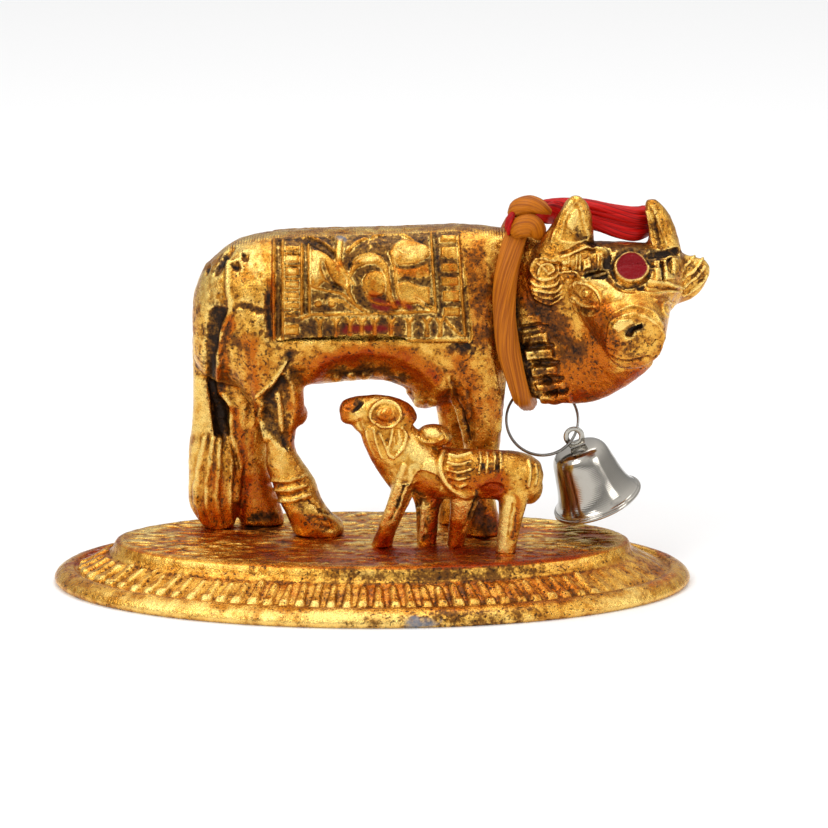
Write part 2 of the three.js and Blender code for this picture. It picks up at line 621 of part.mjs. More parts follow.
// A hank as rows of x, y, z, half height and half width, closed into a loop.
function hankLoop(rows, sides) {
  const centres = rows.map((row) => new THREE.Vector3(row[0], row[1], row[2]));
  const rings = centres.map((centre, i) => {
    const next = centres[(i + 1) % centres.length];
    const before = centres[(i + centres.length - 1) % centres.length];
    const along = next.clone().sub(before).normalize();
    const up = along.clone().cross(ALONG_X).normalize();
    const side = up.clone().cross(along).normalize();
    return sectionRing(centre, up, side, rows[i][3], rows[i][4], sides, 2);
  });
  return skin(rings, true);
}

// The neck hank lies round the neck, half a hank's thickness clear of the casting,
// and sags below the throat, where it is squeezed together by the ring.
const HANK = { halfThickness: 1.5, halfWidth: 2.2, clear: 0.5, steps: 24, middleY: 7, middleZ: 56 };
const HANK_PATH = { narrowX: 26, narrowZ: 58, bowBelow: 0.0095, bowAbove: 0.016 };
const SAG = { radius: 21.1, x: 31.2, reachDegrees: 75, squeeze: 0.82, squeezedWithin: 40 };

// How far the hank leans towards the head, by height.
function hankX(z) {
  const bow = z < HANK_PATH.narrowZ ? HANK_PATH.bowBelow : HANK_PATH.bowAbove;
  return HANK_PATH.narrowX + bow * (z - HANK_PATH.narrowZ) ** 2;
}

function neckHank(solid) {
  const mesh = new THREE.Mesh(geometryOf(solid), new THREE.MeshBasicMaterial({ side: THREE.DoubleSide }));
  const far = 40;
  const rows = [];
  for (let i = 0; i < HANK.steps; i += 1) {
    const degrees = (i / HANK.steps) * 360 - (i > HANK.steps / 2 ? 360 : 0);
    const angle = THREE.MathUtils.degToRad(degrees);
    const outward = new THREE.Vector3(0, -Math.sin(angle), -Math.cos(angle));
    const reachFrom = (x) => {
      const centre = new THREE.Vector3(x, HANK.middleY, HANK.middleZ);
      const ray = new THREE.Raycaster(centre.addScaledVector(outward, far), outward.clone().negate());
      const hits = ray.intersectObject(mesh);
      return hits.length ? far - hits[0].distance : 0;
    };
    const sagRadius = SAG.radius * (1 - (degrees / SAG.reachDegrees) ** 2);
    let x = HANK_PATH.narrowX;
    let radius = 0;
    for (let pass = 0; pass < 3; pass += 1) {
      const under = Math.max(...[-HANK.halfWidth, 0, HANK.halfWidth].map((shift) => reachFrom(x + shift)));
      radius = Math.max(under + HANK.clear + HANK.halfThickness, sagRadius);
      x = Math.min(hankX(HANK.middleZ - radius * Math.cos(angle)), SAG.x);
    }
    const squeeze = Math.abs(degrees) < SAG.squeezedWithin ? SAG.squeeze : 1;
    const centre = new THREE.Vector3(x, HANK.middleY, HANK.middleZ).addScaledVector(outward, radius);
    rows.push([...centre, HANK.halfThickness, HANK.halfWidth * squeeze]);
  }
  return rows;
}

function neckThreadGeometry() {
  return geometryOf(joined([
    hankLoop(neckHank(plainCow), 6),
    lump([31.6, 3.6, 75.4], [3.9, 3.0, 2.0], [0, 12, 0]),
    lump([30.4, 1.6, 72.6], [2.6, 2.1, 2.7]),
  ]));
}

const HORN_HANK = [
  [33.6, 7.4, 74.4, 1.6, 1.2], [37, 6.9, 74.2, 2.4, 1.5], [41, 6.2, 73.8, 2.6, 1.6], [45, 5.0, 73.2, 2.7, 1.7],
  [49, 4.2, 72.4, 3.0, 1.8], [52, 4.4, 72, 3.3, 1.8], [54.6, 6.6, 72, 3.0, 1.6], [57, 8, 71.6, 2.4, 1.4],
  [58.6, 8.2, 71, 1.2, 0.9],
];

function hornThreadGeometry() {
  return limb(HORN_HANK, { sides: 8 });
}

// The split ring through the neck hank leans back, so that it passes through the
// bell's tab. The bell hangs from the ring at hangAngle and leans to one side.
const RING = { x: 33.9, y: 5.4, z: 31.7, radius: 7.15, lean: 25, wire: 0.3, hangAngle: -28 };
const BELL = { lean: 21, away: 8, height: 12.8, wall: 0.5 };
const TAB = { radius: 2.1, hole: 1.2, thickness: 0.5, height: 15, offset: 0.3 };
const BELL_GAP = 0.15;

function ringPoint(degrees) {
  const angle = THREE.MathUtils.degToRad(degrees);
  const lean = THREE.MathUtils.degToRad(RING.lean);
  const up = new THREE.Vector3(0, Math.sin(lean), Math.cos(lean));
  const outward = ALONG_X.clone().multiplyScalar(Math.cos(angle)).addScaledVector(up, Math.sin(angle));
  const normal = up.clone().cross(ALONG_X);
  const centre = new THREE.Vector3(RING.x, RING.y, RING.z).addScaledVector(outward, RING.radius);
  return { centre, outward, normal };
}

function splitRingGeometry() {
  const rings = [];
  const steps = 24;
  for (let i = 0; i < steps; i += 1) {
    const { centre, outward, normal } = ringPoint((i / steps) * 360);
    rings.push(sectionRing(centre, outward, normal, RING.wire, RING.wire, 4, 2));
  }
  return skin(rings, true);
}

// The bell's turn, and its mouth's middle below the hanging point.
function bellPlace() {
  const away = THREE.MathUtils.degToRad(BELL.away);
  const lean = THREE.MathUtils.degToRad(-BELL.lean);
  const place = new THREE.Matrix4().makeRotationFromEuler(new THREE.Euler(away, lean, 0, 'YXZ'));
  const hang = new THREE.Vector3(TAB.offset, 0, TAB.height).applyMatrix4(place);
  return place.setPosition(ringPoint(RING.hangAngle).centre.sub(hang));
}

// Radius and height of the bell's outside above its mouth.
const BELL_PROFILE = [
  [9.2, 0], [8.5, 0.8], [7.3, 2.8], [6.6, 6], [5.9, 10], [4.8, 12], [0, 12.8],
];

function bellGeometry() {
  const outside = BELL_PROFILE.map(([radius, z]) => new THREE.Vector2(radius, z));
  const inside = BELL_PROFILE.slice(1).map(([radius, z]) => {
    return new THREE.Vector2(Math.max(radius - BELL.wall, 0), z - BELL.wall);
  });
  const mouthEdge = new THREE.Vector2(BELL_PROFILE[0][0] - BELL.wall, 0);
  const geometry = new THREE.LatheGeometry([...outside, ...inside.reverse(), mouthEdge, outside[0]], 16);
  geometry.rotateX(Math.PI / 2);
  geometry.applyMatrix4(bellPlace());
  return geometryOf(solidOf(geometry));
}

// The pierced tab on the crown that the ring passes through.
function bellLoopGeometry() {
  const foot = TAB.height - BELL.height - BELL_GAP;
  const shape = new THREE.Shape();
  shape.absarc(0, 0, TAB.radius, -0.2 * Math.PI, 1.2 * Math.PI);
  shape.lineTo(-TAB.radius * 0.7, -foot);
  shape.lineTo(TAB.radius * 0.7, -foot);
  const hole = new THREE.Path();
  hole.absellipse(0, 0, TAB.hole * 0.85, TAB.hole, 0, Math.PI * 2, true);
  shape.holes.push(hole);
  const options = { depth: TAB.thickness, bevelEnabled: false, curveSegments: 6 };
  const geometry = new THREE.ExtrudeGeometry(shape, options);
  geometry.translate(0, 0, -TAB.thickness / 2);
  geometry.rotateX(Math.PI / 2);
  geometry.translate(TAB.offset, 0, TAB.height);
  geometry.applyMatrix4(bellPlace());
  return geometryOf(solidOf(geometry));
}

function clapperGeometry() {
  const rod = [[0, 0, 11.2, 0.35, 0.35], [0, 0, 0.6, 0.35, 0.35], [0, 0, -0.2, 1.2, 1.2], [0, 0, -1.8, 1.6, 1.6],
    [0, 0, -3, 0.8, 0.8]];
  return limb(rod, { sides: 6 }).applyMatrix4(bellPlace());
}

// The finished figure

const GOLD = { color: 0xd79a2b, roughness: 0.36, metalness: 0.85 };
const STEEL = { color: 0xb9b7b0, roughness: 0.25, metalness: 1 };
const PIECES = [
  ['base', baseGeometry, GOLD],
  ['cow', cowGeometry, GOLD],
  ['calf', calfGeometry, GOLD],
  ['neck_thread', neckThreadGeometry, { color: 0xc9780f, roughness: 0.6, metalness: 0 }],
  ['horn_thread', hornThreadGeometry, { color: 0xc4161c, roughness: 0.6, metalness: 0 }],
  ['split_ring', splitRingGeometry, STEEL],
  ['bell', bellGeometry, STEEL],
  ['bell_loop', bellLoopGeometry, STEEL],
  ['clapper', clapperGeometry, STEEL],
];

const figure = new THREE.Group();
PIECES.forEach(([name, build, finish]) => {
  const mesh = new THREE.Mesh(build(), new THREE.MeshStandardMaterial(finish));
  mesh.name = name;
  figure.add(mesh);
});

export default figure;
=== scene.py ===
# %% [markdown]
# # A cow with her calf on a lotus base
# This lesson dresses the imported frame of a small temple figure. Every piece is worked out
# with numpy in millimetres, in the frame's own axes, and is put into a mesh in metres.

# %% Load the frame
import bmesh
import bpy
import json
import numpy as np
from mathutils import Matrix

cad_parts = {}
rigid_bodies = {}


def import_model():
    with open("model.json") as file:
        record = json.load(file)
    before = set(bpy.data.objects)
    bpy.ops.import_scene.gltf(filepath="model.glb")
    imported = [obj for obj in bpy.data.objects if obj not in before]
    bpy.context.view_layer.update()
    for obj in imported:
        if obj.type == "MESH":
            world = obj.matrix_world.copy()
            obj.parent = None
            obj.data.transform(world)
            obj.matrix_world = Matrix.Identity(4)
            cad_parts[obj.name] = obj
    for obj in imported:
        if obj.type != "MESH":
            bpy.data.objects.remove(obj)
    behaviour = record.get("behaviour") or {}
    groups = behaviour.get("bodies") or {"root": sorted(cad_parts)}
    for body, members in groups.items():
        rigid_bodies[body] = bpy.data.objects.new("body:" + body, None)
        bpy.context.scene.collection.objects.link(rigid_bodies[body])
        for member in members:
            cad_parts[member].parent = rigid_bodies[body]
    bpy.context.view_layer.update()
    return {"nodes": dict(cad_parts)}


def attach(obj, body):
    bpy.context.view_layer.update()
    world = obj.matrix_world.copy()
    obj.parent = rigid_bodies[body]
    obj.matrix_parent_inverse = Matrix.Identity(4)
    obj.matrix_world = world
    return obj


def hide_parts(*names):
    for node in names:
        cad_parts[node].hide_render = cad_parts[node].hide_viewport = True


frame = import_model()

MM = 0.001
print("frame:", len(frame["nodes"]), "nodes")

# %% [markdown]
# The camera comes first, because the chasing is drawn on a sheet that faces it. It stands
# 800 mm away and 15 degrees above level, which is how the figure was looked at. A long lens
# keeps the oval of the base nearly without perspective.

# %% Camera
VIEW_DISTANCE = 800.0
VIEW_ELEVATION = np.radians(15.0)
PIXELS_PER_MM, PICTURE_WIDTH, SENSOR_WIDTH = 5.051, 828.0, 36.0
TARGET = np.array([8.34, 0.0, 34.35])
AHEAD = np.array([0.0, np.cos(VIEW_ELEVATION), -np.sin(VIEW_ELEVATION)])
SHEET_UP = np.array([0.0, np.sin(VIEW_ELEVATION), np.cos(VIEW_ELEVATION)])
EYE = TARGET - VIEW_DISTANCE * AHEAD

camera_data = bpy.data.cameras.new("camera")
camera_data.lens = SENSOR_WIDTH * PIXELS_PER_MM * VIEW_DISTANCE / PICTURE_WIDTH
camera = bpy.data.objects.new("camera", camera_data)
camera.location = EYE * MM
camera.rotation_euler = (np.pi / 2 - VIEW_ELEVATION, 0.0, 0.0)
bpy.context.scene.collection.objects.link(camera)
bpy.context.scene.camera = camera
print("camera at", np.round(EYE, 1), "lens", round(camera_data.lens, 1))

# %% [markdown]
# The floor is a plain white sheet. The light is what a small tent of white cloth gives: a
# sky that is bright overhead and greyer towards the table, so that metal has something dark
# to reflect, with a soft window at the left, one above and a weaker one at the right.

# %% Floor and light
def soft_light(name, place, aim, size, power):
    """A square soft light at a place in metres, turned to face a point."""
    data = bpy.data.lights.new(name, "AREA")
    data.size = size
    data.energy = power
    lamp = bpy.data.objects.new(name, data)
    lamp.location = place
    away = np.array(place) - np.array(aim)
    tilt = np.arctan2(np.hypot(away[0], away[1]), away[2])
    lamp.rotation_euler = (tilt, 0.0, np.arctan2(away[0], -away[1]))
    bpy.context.scene.collection.objects.link(lamp)

soft_light("left_window", (-0.45, -0.5, 0.6), (0, 0, 0.04), 0.40, 2.4)
soft_light("right_fill", (0.6, -0.45, 0.35), (0, 0, 0.04), 0.30, 1.0)
soft_light("top_window", (0.05, 0.15, 0.8), (0, 0, 0.03), 0.4, 1.4)

world = bpy.data.worlds.new("tent")
bpy.context.scene.world = world
world.use_nodes = True
sky = world.node_tree
look = sky.nodes.new("ShaderNodeSeparateXYZ")
sky.links.new(sky.nodes.new("ShaderNodeTexCoord").outputs["Generated"], look.inputs[0])
height = sky.nodes.new("ShaderNodeMapRange")
for end, value in (("From Min", 0.0), ("From Max", 0.85), ("To Min", 0.30), ("To Max", 1.05)):
    height.inputs[end].default_value = value
sky.links.new(look.outputs["Z"], height.inputs["Value"])
sky.links.new(height.outputs["Result"], sky.nodes["Background"].inputs["Strength"])
sky.nodes["Background"].inputs["Color"].default_value = (1.0, 1.0, 1.0, 1.0)
bpy.context.scene.view_settings.view_transform = "Standard"

bpy.ops.mesh.primitive_plane_add(size=6.0, location=(0, 0, 0))
floor = bpy.context.object
floor.name = "floor"
paper = bpy.data.materials.new("white_paper")
paper.use_nodes = True
paper_shader = paper.node_tree.nodes["Principled BSDF"]
paper_shader.inputs["Base Color"].default_value = (0.93, 0.93, 0.93, 1.0)
paper_shader.inputs["Roughness"].default_value = 0.9
floor.data.materials.append(paper)
print("floor,", len(bpy.data.lights), "soft lights and a white tent")

# %% [markdown]
# Two small helpers carry most of the shapes. A table of rows is a list of sections along a
# limb; a smooth curve through it gives as many rows as wanted. A loft carries an oval section
# along those rows.

# %% Helpers for shapes
def flow(rows, count, closed=False):
    """Rows resampled on a Catmull-Rom curve: each span is the cubic that leaves a row with
    half the step between its neighbours."""
    rows = np.asarray(rows, float)
    n = len(rows)
    t = np.linspace(0, n if closed else n - 1, count, endpoint=not closed)
    i = np.minimum(t.astype(int), n - 1 if closed else n - 2)
    f = (t - i)[:, None]
    pick = (lambda k: rows[k % n]) if closed else (lambda k: rows[np.clip(k, 0, n - 1)])
    before, here, after, beyond = pick(i - 1), pick(i), pick(i + 1), pick(i + 2)
    out_slope, in_slope, rise = (after - before) / 2, (beyond - here) / 2, after - here
    bend = 3 * rise - 2 * out_slope - in_slope + f * (out_slope + in_slope - 2 * rise)
    return here + f * (out_slope + f * bend)

def signed_power(value, power):
    """A power that keeps its value's sign, for the sides of a superellipse."""
    return np.sign(value) * np.abs(value) ** power

def unit(v):
    """Vectors scaled to length one."""
    return v / np.maximum(np.linalg.norm(v, axis=-1, keepdims=True), 1e-9)

def circle(sides):
    """The angles of a circle's points."""
    return np.linspace(0, 2 * np.pi, sides, endpoint=False)

def grid_faces(rows, columns, wrap_rows=False, wrap_columns=True):
    """Quads of a grid of points, row by row, closed round its columns or rows where asked."""
    r = np.arange(rows if wrap_rows else rows - 1)[:, None]
    c = np.arange(columns if wrap_columns else columns - 1)[None, :]
    r2, c2 = (r + 1) % rows, (c + 1) % columns
    quads = np.stack([r * columns + c, r * columns + c2, r2 * columns + c2, r2 * columns + c], -1)
    return quads.reshape(-1, 4)

def outward(points, faces):
    """Faces turned so that the body's volume is positive."""
    a, b, c, d = (points[faces[:, k]] for k in range(4))
    volume = np.einsum("ij,ij->", a, np.cross(b, c)) + np.einsum("ij,ij->", a, np.cross(c, d))
    return faces if volume > 0 else faces[:, ::-1]

def capped(rings):
    """A closed skin over rings of points, each end closed to its middle."""
    rows, columns, _ = rings.shape
    first = np.repeat(rings[:1].mean(1, keepdims=True), columns, 1)
    last = np.repeat(rings[-1:].mean(1, keepdims=True), columns, 1)
    points = np.concatenate([first, rings, last]).reshape(-1, 3)
    return points, outward(points, grid_faces(rows + 2, columns))

def loft(rows, sides=32, roundness=2.0, facing=None, across=(0, 1, 0), fine=5):
    """A limb: per row its centre and two radii, the second one across, swept with a
    superellipse whose rings stand square to the path, or all face one way."""
    table = flow(rows, (len(rows) - 1) * fine + 1)
    centre = table[:, :3]
    along = unit(np.gradient(centre, axis=0))
    if facing is not None:
        along = np.tile(np.asarray(facing, float), (len(table), 1))
    up = unit(np.cross(along, np.asarray(across, float)))
    side = np.cross(up, along)
    rise = table[:, 3:4] * signed_power(np.cos(circle(sides)), 2 / roundness)
    reach = table[:, 4:5] * signed_power(np.sin(circle(sides)), 2 / roundness)
    return capped(centre[:, None] + up[:, None] * rise[..., None] + side[:, None] * reach[..., None])

def turned(points, degrees):
    """Points turned about X, then Y, then Z, as the frame's lumps are."""
    x, y, z = np.radians(degrees)
    rx = np.array([[1, 0, 0], [0, np.cos(x), -np.sin(x)], [0, np.sin(x), np.cos(x)]])
    ry = np.array([[np.cos(y), 0, np.sin(y)], [0, 1, 0], [-np.sin(y), 0, np.cos(y)]])
    rz = np.array([[np.cos(z), -np.sin(z), 0], [np.sin(z), np.cos(z), 0], [0, 0, 1]])
    return points @ (rx @ ry @ rz).T

def lump(centre, radii, degrees=(0, 0, 0), sides=24):
    """A ball stretched to three radii and turned."""
    rise = np.linspace(-np.pi / 2, np.pi / 2, sides // 2 + 1)[1:-1, None]
    turn = circle(sides)
    ball = np.stack([np.cos(rise) * np.cos(turn), np.cos(rise) * np.sin(turn),
                     np.repeat(np.sin(rise), sides, 1)], -1)
    points, faces = capped(ball)
    return turned(points * np.asarray(radii, float), degrees) + np.asarray(centre, float), faces

def together(parts):
    """Several bodies as one list of points and faces."""
    starts = np.cumsum([0] + [len(points) for points, _ in parts])
    faces = [faces + start for (_, faces), start in zip(parts, starts)]
    return np.concatenate([points for points, _ in parts]), np.concatenate(faces)

# %% [markdown]
# A second set puts points into Blender's meshes and reads them back. Fusing melts overlapping
# lofts into one skin with a voxel remesh, as wax limbs are melted together before a figure is
# cast. Numbers kept per vertex, such as how hollow a place is, are what the finishes read.

# %% Helpers for meshes
def new_mesh(name, points, faces):
    """A mesh in metres from points in millimetres and quads; a quad with a repeated corner
    is a triangle."""
    mesh = bpy.data.meshes.new(name)
    mesh.from_pydata((points * MM).tolist(), [], [tuple(dict.fromkeys(f)) for f in faces.tolist()])
    mesh.validate()
    mesh.update()
    return mesh

def placed(name, mesh, node=None):
    """A finished piece in the scene, riding the figure's one body."""
    piece = bpy.data.objects.new(name, mesh)
    bpy.context.scene.collection.objects.link(piece)
    mesh.polygons.foreach_set("use_smooth", np.ones(len(mesh.polygons), bool))
    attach(piece, "root")
    if node:
        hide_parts(node)
    return piece

def fused(name, parts, voxel):
    """The bodies melted into one mesh of small quads and smoothed a few rounds."""
    source = bpy.data.objects.new(name, new_mesh(name, *together(parts)))
    bpy.context.scene.collection.objects.link(source)
    melt = source.modifiers.new("melt", "REMESH")
    melt.mode = "VOXEL"
    melt.voxel_size = voxel * MM
    smooth = source.modifiers.new("smooth", "SMOOTH")
    smooth.factor = 0.5
    smooth.iterations = 4
    view = bpy.context.evaluated_depsgraph_get()
    mesh = bpy.data.meshes.new_from_object(source.evaluated_get(view))
    bpy.data.objects.remove(source)
    print(name, "melted into", len(mesh.polygons), "quads")
    return mesh

def vectors_of(collection, name):
    """Three numbers per vertex, read at once."""
    values = np.empty(len(collection) * 3, np.float32)
    collection.foreach_get(name, values)
    return values.reshape(-1, 3).astype(float)

def points_of(mesh):
    """A mesh's points in millimetres."""
    return vectors_of(mesh.vertices, "co") / MM

def normals_of(mesh):
    """The direction that each vertex faces."""
    return vectors_of(mesh.vertex_normals, "vector")

def set_points(mesh, points):
    """A mesh's points moved, given in millimetres."""
    mesh.vertices.foreach_set("co", (points * MM).astype(np.float32).ravel())
    mesh.update()

def neighbour_mean(mesh, values, rounds):
    """Each vertex's value drawn halfway to the mean of its neighbours', a number of rounds."""
    ends = np.empty(len(mesh.edges) * 2, np.int32)
    mesh.edges.foreach_get("vertices", ends)
    a, b = ends.reshape(-1, 2).T
    count = len(mesh.vertices)
    weight = np.bincount(a, minlength=count) + np.bincount(b, minlength=count)
    for _ in range(rounds):
        sums = [np.bincount(a, v[b], count) + np.bincount(b, v[a], count) for v in values.T]
        values = 0.5 * values + 0.5 * np.stack(sums, -1) / np.maximum(weight, 1)[:, None]
    return values

def mark(mesh, name, values):
    """A number per vertex that a material can read."""
    layer = mesh.attributes.new(name, "FLOAT", "POINT")
    layer.data.foreach_set("value", np.asarray(values, np.float32))

def hollow_of(mesh, rounds, depth):
    """How deep a vertex lies under the mean of its surroundings, from -1 to 1."""
    points = points_of(mesh)
    sunk = np.einsum("ij,ij->i", neighbour_mean(mesh, points, rounds) - points, normals_of(mesh))
    return np.clip(sunk / depth, -1, 1)

# %% [markdown]
# Noise made in numpy roughens the castings. A lattice of random numbers from a fixed seed is
# read at each point with smooth weights, so the same bumps come out on every run.

# %% Value noise
CELLS = 32
LATTICE = np.random.default_rng(7).random((CELLS, CELLS, CELLS)) * 2 - 1

def noise(points, scale):
    """Smooth random values from -1 to 1 whose bumps are about scale millimetres wide."""
    p = points / scale
    i = np.floor(p).astype(int)
    f = p - i
    f = f * f * (3 - 2 * f)
    total = 0
    for corner in np.ndindex(2, 2, 2):
        weight = np.abs(1 - np.array(corner) - f)
        x, y, z = ((i + corner) % CELLS).T
        total = total + weight[:, 0] * weight[:, 1] * weight[:, 2] * LATTICE[x, y, z]
    return total

def drift(points, scale, first=0, second=37):
    """Two noises side by side, which push points about on a sheet."""
    return np.stack([noise(points + first, scale), noise(points + second, scale)], -1)

def slice_noise(x, y, level, scale):
    """Noise read on a level slice."""
    return noise(np.stack([x, y, np.full_like(x, level)], -1), scale)

# %% [markdown]
# The chaser works from a drawing. Here the drawing is a flat sheet that faces the viewer, in
# millimetres, and each figure on it is carried straight back on to the casting. Ridges and
# grooves are lines with a width; plates and wells are closed outlines with a soft edge.
# A table holds one figure per row: its width, its height, and its points as x, y, x, y.

# %% The chaser's sheet
def on_sheet(points):
    """Where points are seen on the sheet through the target: right, and up."""
    ray = points - EYE
    depth = ray @ AHEAD
    up = VIEW_DISTANCE * (ray @ SHEET_UP) / depth
    return np.stack([TARGET[0] + VIEW_DISTANCE * ray[:, 0] / depth, up], -1)

def pairs(path):
    """A path's numbers as rows of x and y."""
    return np.reshape(np.asarray(path, float), (-1, 2))

def line_distance(sheet, path, closed=False):
    """The distance of sheet points from a line through the path's points."""
    path = pairs(path)
    if closed or len(path) == 1:
        path = np.concatenate([path, path[:1]])
    best = np.full(len(sheet), 1e9)
    for start, end in zip(path[:-1], path[1:]):
        step = end - start
        t = np.clip(((sheet - start) @ step) / max(step @ step, 1e-9), 0, 1)
        best = np.minimum(best, np.linalg.norm(sheet - start - t[:, None] * step, axis=1))
    return best

def inside(sheet, path):
    """True for sheet points inside a closed outline, by counting crossings."""
    path = pairs(path)
    answer = np.zeros(len(sheet), bool)
    for (x1, y1), (x2, y2) in zip(path, np.roll(path, -1, 0)):
        if y1 == y2:
            continue
        crosses = (y1 > sheet[:, 1]) != (y2 > sheet[:, 1])
        answer ^= crosses & (sheet[:, 0] < (x2 - x1) * (sheet[:, 1] - y1) / (y2 - y1) + x1)
    return answer

def ring(x, y, radius_a, radius_b, end=360):
    """Points of an ellipse, or of a part of it up to an angle in degrees."""
    turn = np.radians(np.linspace(0, end, 24))
    return np.stack([x + radius_a * np.cos(turn), y + radius_b * np.sin(turn)], -1)

def figure(kind, path, width, rise):
    """One figure. Plates keep their corners; the others follow a smooth curve."""
    path = pairs(path)
    if kind == "well":
        path = np.concatenate([path, path[:1]])
    if kind != "plate" and len(path) > 2:
        path = flow(path, 6 * len(path))
    return kind, path, width, rise

def figures(table):
    """The figures of a table, whose rows are sorted by kind."""
    return [figure(kind, path, width, rise) for kind in table for width, rise, *path in table[kind]]

def carve(sheet, drawing):
    """The height of all figures at sheet points: the highest plate or ridge, less the deepest
    well or groove. A line's section is (1 - d squared) to the power 1.5; an edge is round."""
    height, cut = np.zeros(len(sheet)), np.zeros(len(sheet))
    for kind, path, width, rise in drawing:
        near = np.flatnonzero(((sheet > path.min(0) - width) & (sheet < path.max(0) + width)).all(1))
        if not len(near):
            continue
        spot = sheet[near]
        closed = kind in ("plate", "well")
        edge = np.clip(line_distance(spot, path, closed) / width, 0, 1)
        if closed:
            value = np.where(inside(spot, path), rise * np.sqrt(1 - (1 - edge) ** 2), 0)
        else:
            value = rise * (1 - edge ** 2) ** 1.5
        target = cut if kind in ("groove", "well") else height
        target[near] = np.maximum(target[near], value)
    return height - cut

def stained(sheet, stains):
    """How strongly each point is stained: each stain's strength times a soft bell of the
    distance from its line. The strongest stain wins. A row is width, strength and a path."""
    total = np.zeros(len(sheet))
    for width, strength, *path in stains:
        total = np.maximum(total, strength * np.exp(-(line_distance(sheet, path) / width) ** 2))
    return total

def ragged(points, sheet):
    """Sheet points pushed about by noise, so that a stain's edge is ragged."""
    return sheet + 0.9 * drift(points, 2.4) + 0.4 * drift(points, 0.8, 11, 71)

def facing_viewer(normals):
    """1 where a surface faces the viewer, falling to 0 where it turns away."""
    return np.clip((-(normals @ AHEAD) - 0.05) / 0.3, 0, 1)

print("the sheet is drawn through", TARGET)

# %% [markdown]
# The base is turned first in the real workshop: an oval plate with a rounded lip, and a band
# of lotus petals that is chased all round. Its skin is a grid with the angle one way and the
# way up the profile the other. A petal is a raised tongue with a dark gap on either side; at
# the right-hand end they have been rubbed nearly flat.

# %% The lotus base
HALF_LENGTH, HALF_DEPTH, PLATE_TOP = 63.5, 32.15, 8.7
BASE_PROFILE = [[1.2, 0], [0.5, 0.1], [0, 0.9], [0.25, 1.7], [0.9, 2.4], [1.9, 3], [2.8, 3.3], [3.7, 3.25],
    [4.3, 2.7], [5.2, 3], [7.4, 4.2], [9.6, 5.4], [11, 6.1], [11.6, 6.7], [12, 7.7], [12.5, 8.4],
    [13.4, 8.7]]
PETALS, BAND_LOW, BAND_HIGH = 88, 4.6, 11.0
SPACING_INSET, RUBBED_FROM = 7.0, 41.0
COLUMNS = 968
PROFILE_ROWS, PLATE_ROWS = 58, 39

def petal_relief(inset, share):
    """How far the skin stands out in the petal band. Each petal is a tongue whose half width
    grows towards its flared foot, with a notch beside it; every petal is a little uneven."""
    petal = share * PETALS
    number = petal.astype(int)
    odd, leaning, long = (LATTICE[number % CELLS, number // CELLS, k] for k in (3, 9, 15))
    down = np.clip((BAND_HIGH - inset) / (BAND_HIGH - BAND_LOW), 0, 1)
    slot = (petal % 1) - 0.5 - 0.12 * leaning * (down - 0.4)
    half = 0.24 + 0.05 * odd + 0.12 * down ** 2
    half = half * np.sqrt(np.clip(1 - ((down - 0.86) / 0.14).clip(0, 1) ** 2, 0, 1))
    half = half * np.clip((down - (0.10 + 0.10 * long)) / 0.12, 0, 1) ** 0.5
    tongue = np.clip((half - np.abs(slot)) / 0.12, 0, 1)
    flare = np.exp(-((down - 0.84) / 0.09) ** 2)
    raised = np.sqrt(tongue) * (0.42 + 0.12 * odd + 0.30 * flare)
    notch = 0.22 * (tongue <= 0) * (down < 0.95)
    return ((inset > BAND_LOW) & (inset < BAND_HIGH)) * (raised - notch)

def base_skin(columns, rows):
    """Angle by way up the profile: an oval that is drawn in by the profile's first number and
    lifted by its second, and then moved outward by the relief. Columns are evenly spaced along
    an oval in the petal band."""
    turn = np.linspace(0, 2 * np.pi, 4001)
    long, deep = HALF_LENGTH - SPACING_INSET, HALF_DEPTH - SPACING_INSET
    steps = np.hypot(np.diff(long * np.cos(turn)), np.diff(deep * np.sin(turn)))
    arc = np.concatenate([[0], np.cumsum(steps)])
    share = np.linspace(0, 1, columns, endpoint=False)
    angle = np.interp(share * arc[-1], arc, turn)
    profile = flow(BASE_PROFILE, rows)
    inset, height = (np.repeat(profile[:, k:k + 1], columns, 1) for k in (0, 1))
    around = np.repeat(angle[None] * 40, rows, 0)
    worn = slice_noise(around.ravel(), inset.ravel(), 0, 1.6).reshape(inset.shape)
    rubbed_flat = np.clip(((HALF_LENGTH - inset) * np.cos(angle) - RUBBED_FROM) / 7, 0, 1)
    lift = petal_relief(inset, np.repeat(share[None], rows, 0))
    lift = lift * (1 - 0.25 * np.clip(worn, 0, 1)) * (1 - 0.88 * rubbed_flat) + 0.05 * worn * (inset > 1)
    slope = np.gradient(profile, axis=0)
    normal = unit(np.stack([slope[:, 1], slope[:, 0]], -1))
    outset = lift * np.maximum(normal[:, :1], 0)
    x = (HALF_LENGTH - inset + outset) * np.cos(angle)
    y = (HALF_DEPTH - inset + outset) * np.sin(angle)
    z = np.maximum(height + lift * np.abs(normal[:, 1:]), 0)
    return np.stack([x, y, z], -1)

def plate_grain(x, y):
    """The plate's cast grain: short flowing dashes, as wind draws on sand."""
    warp = slice_noise(x, y, 9, 6.0) * 2.2
    dash = slice_noise(x * 0.45, y * 1.6 + warp, 0, 1.0)
    return 0.17 * np.clip(dash * 1.8, -1, 1) + 0.06 * slice_noise(x, y, 4, 0.7)

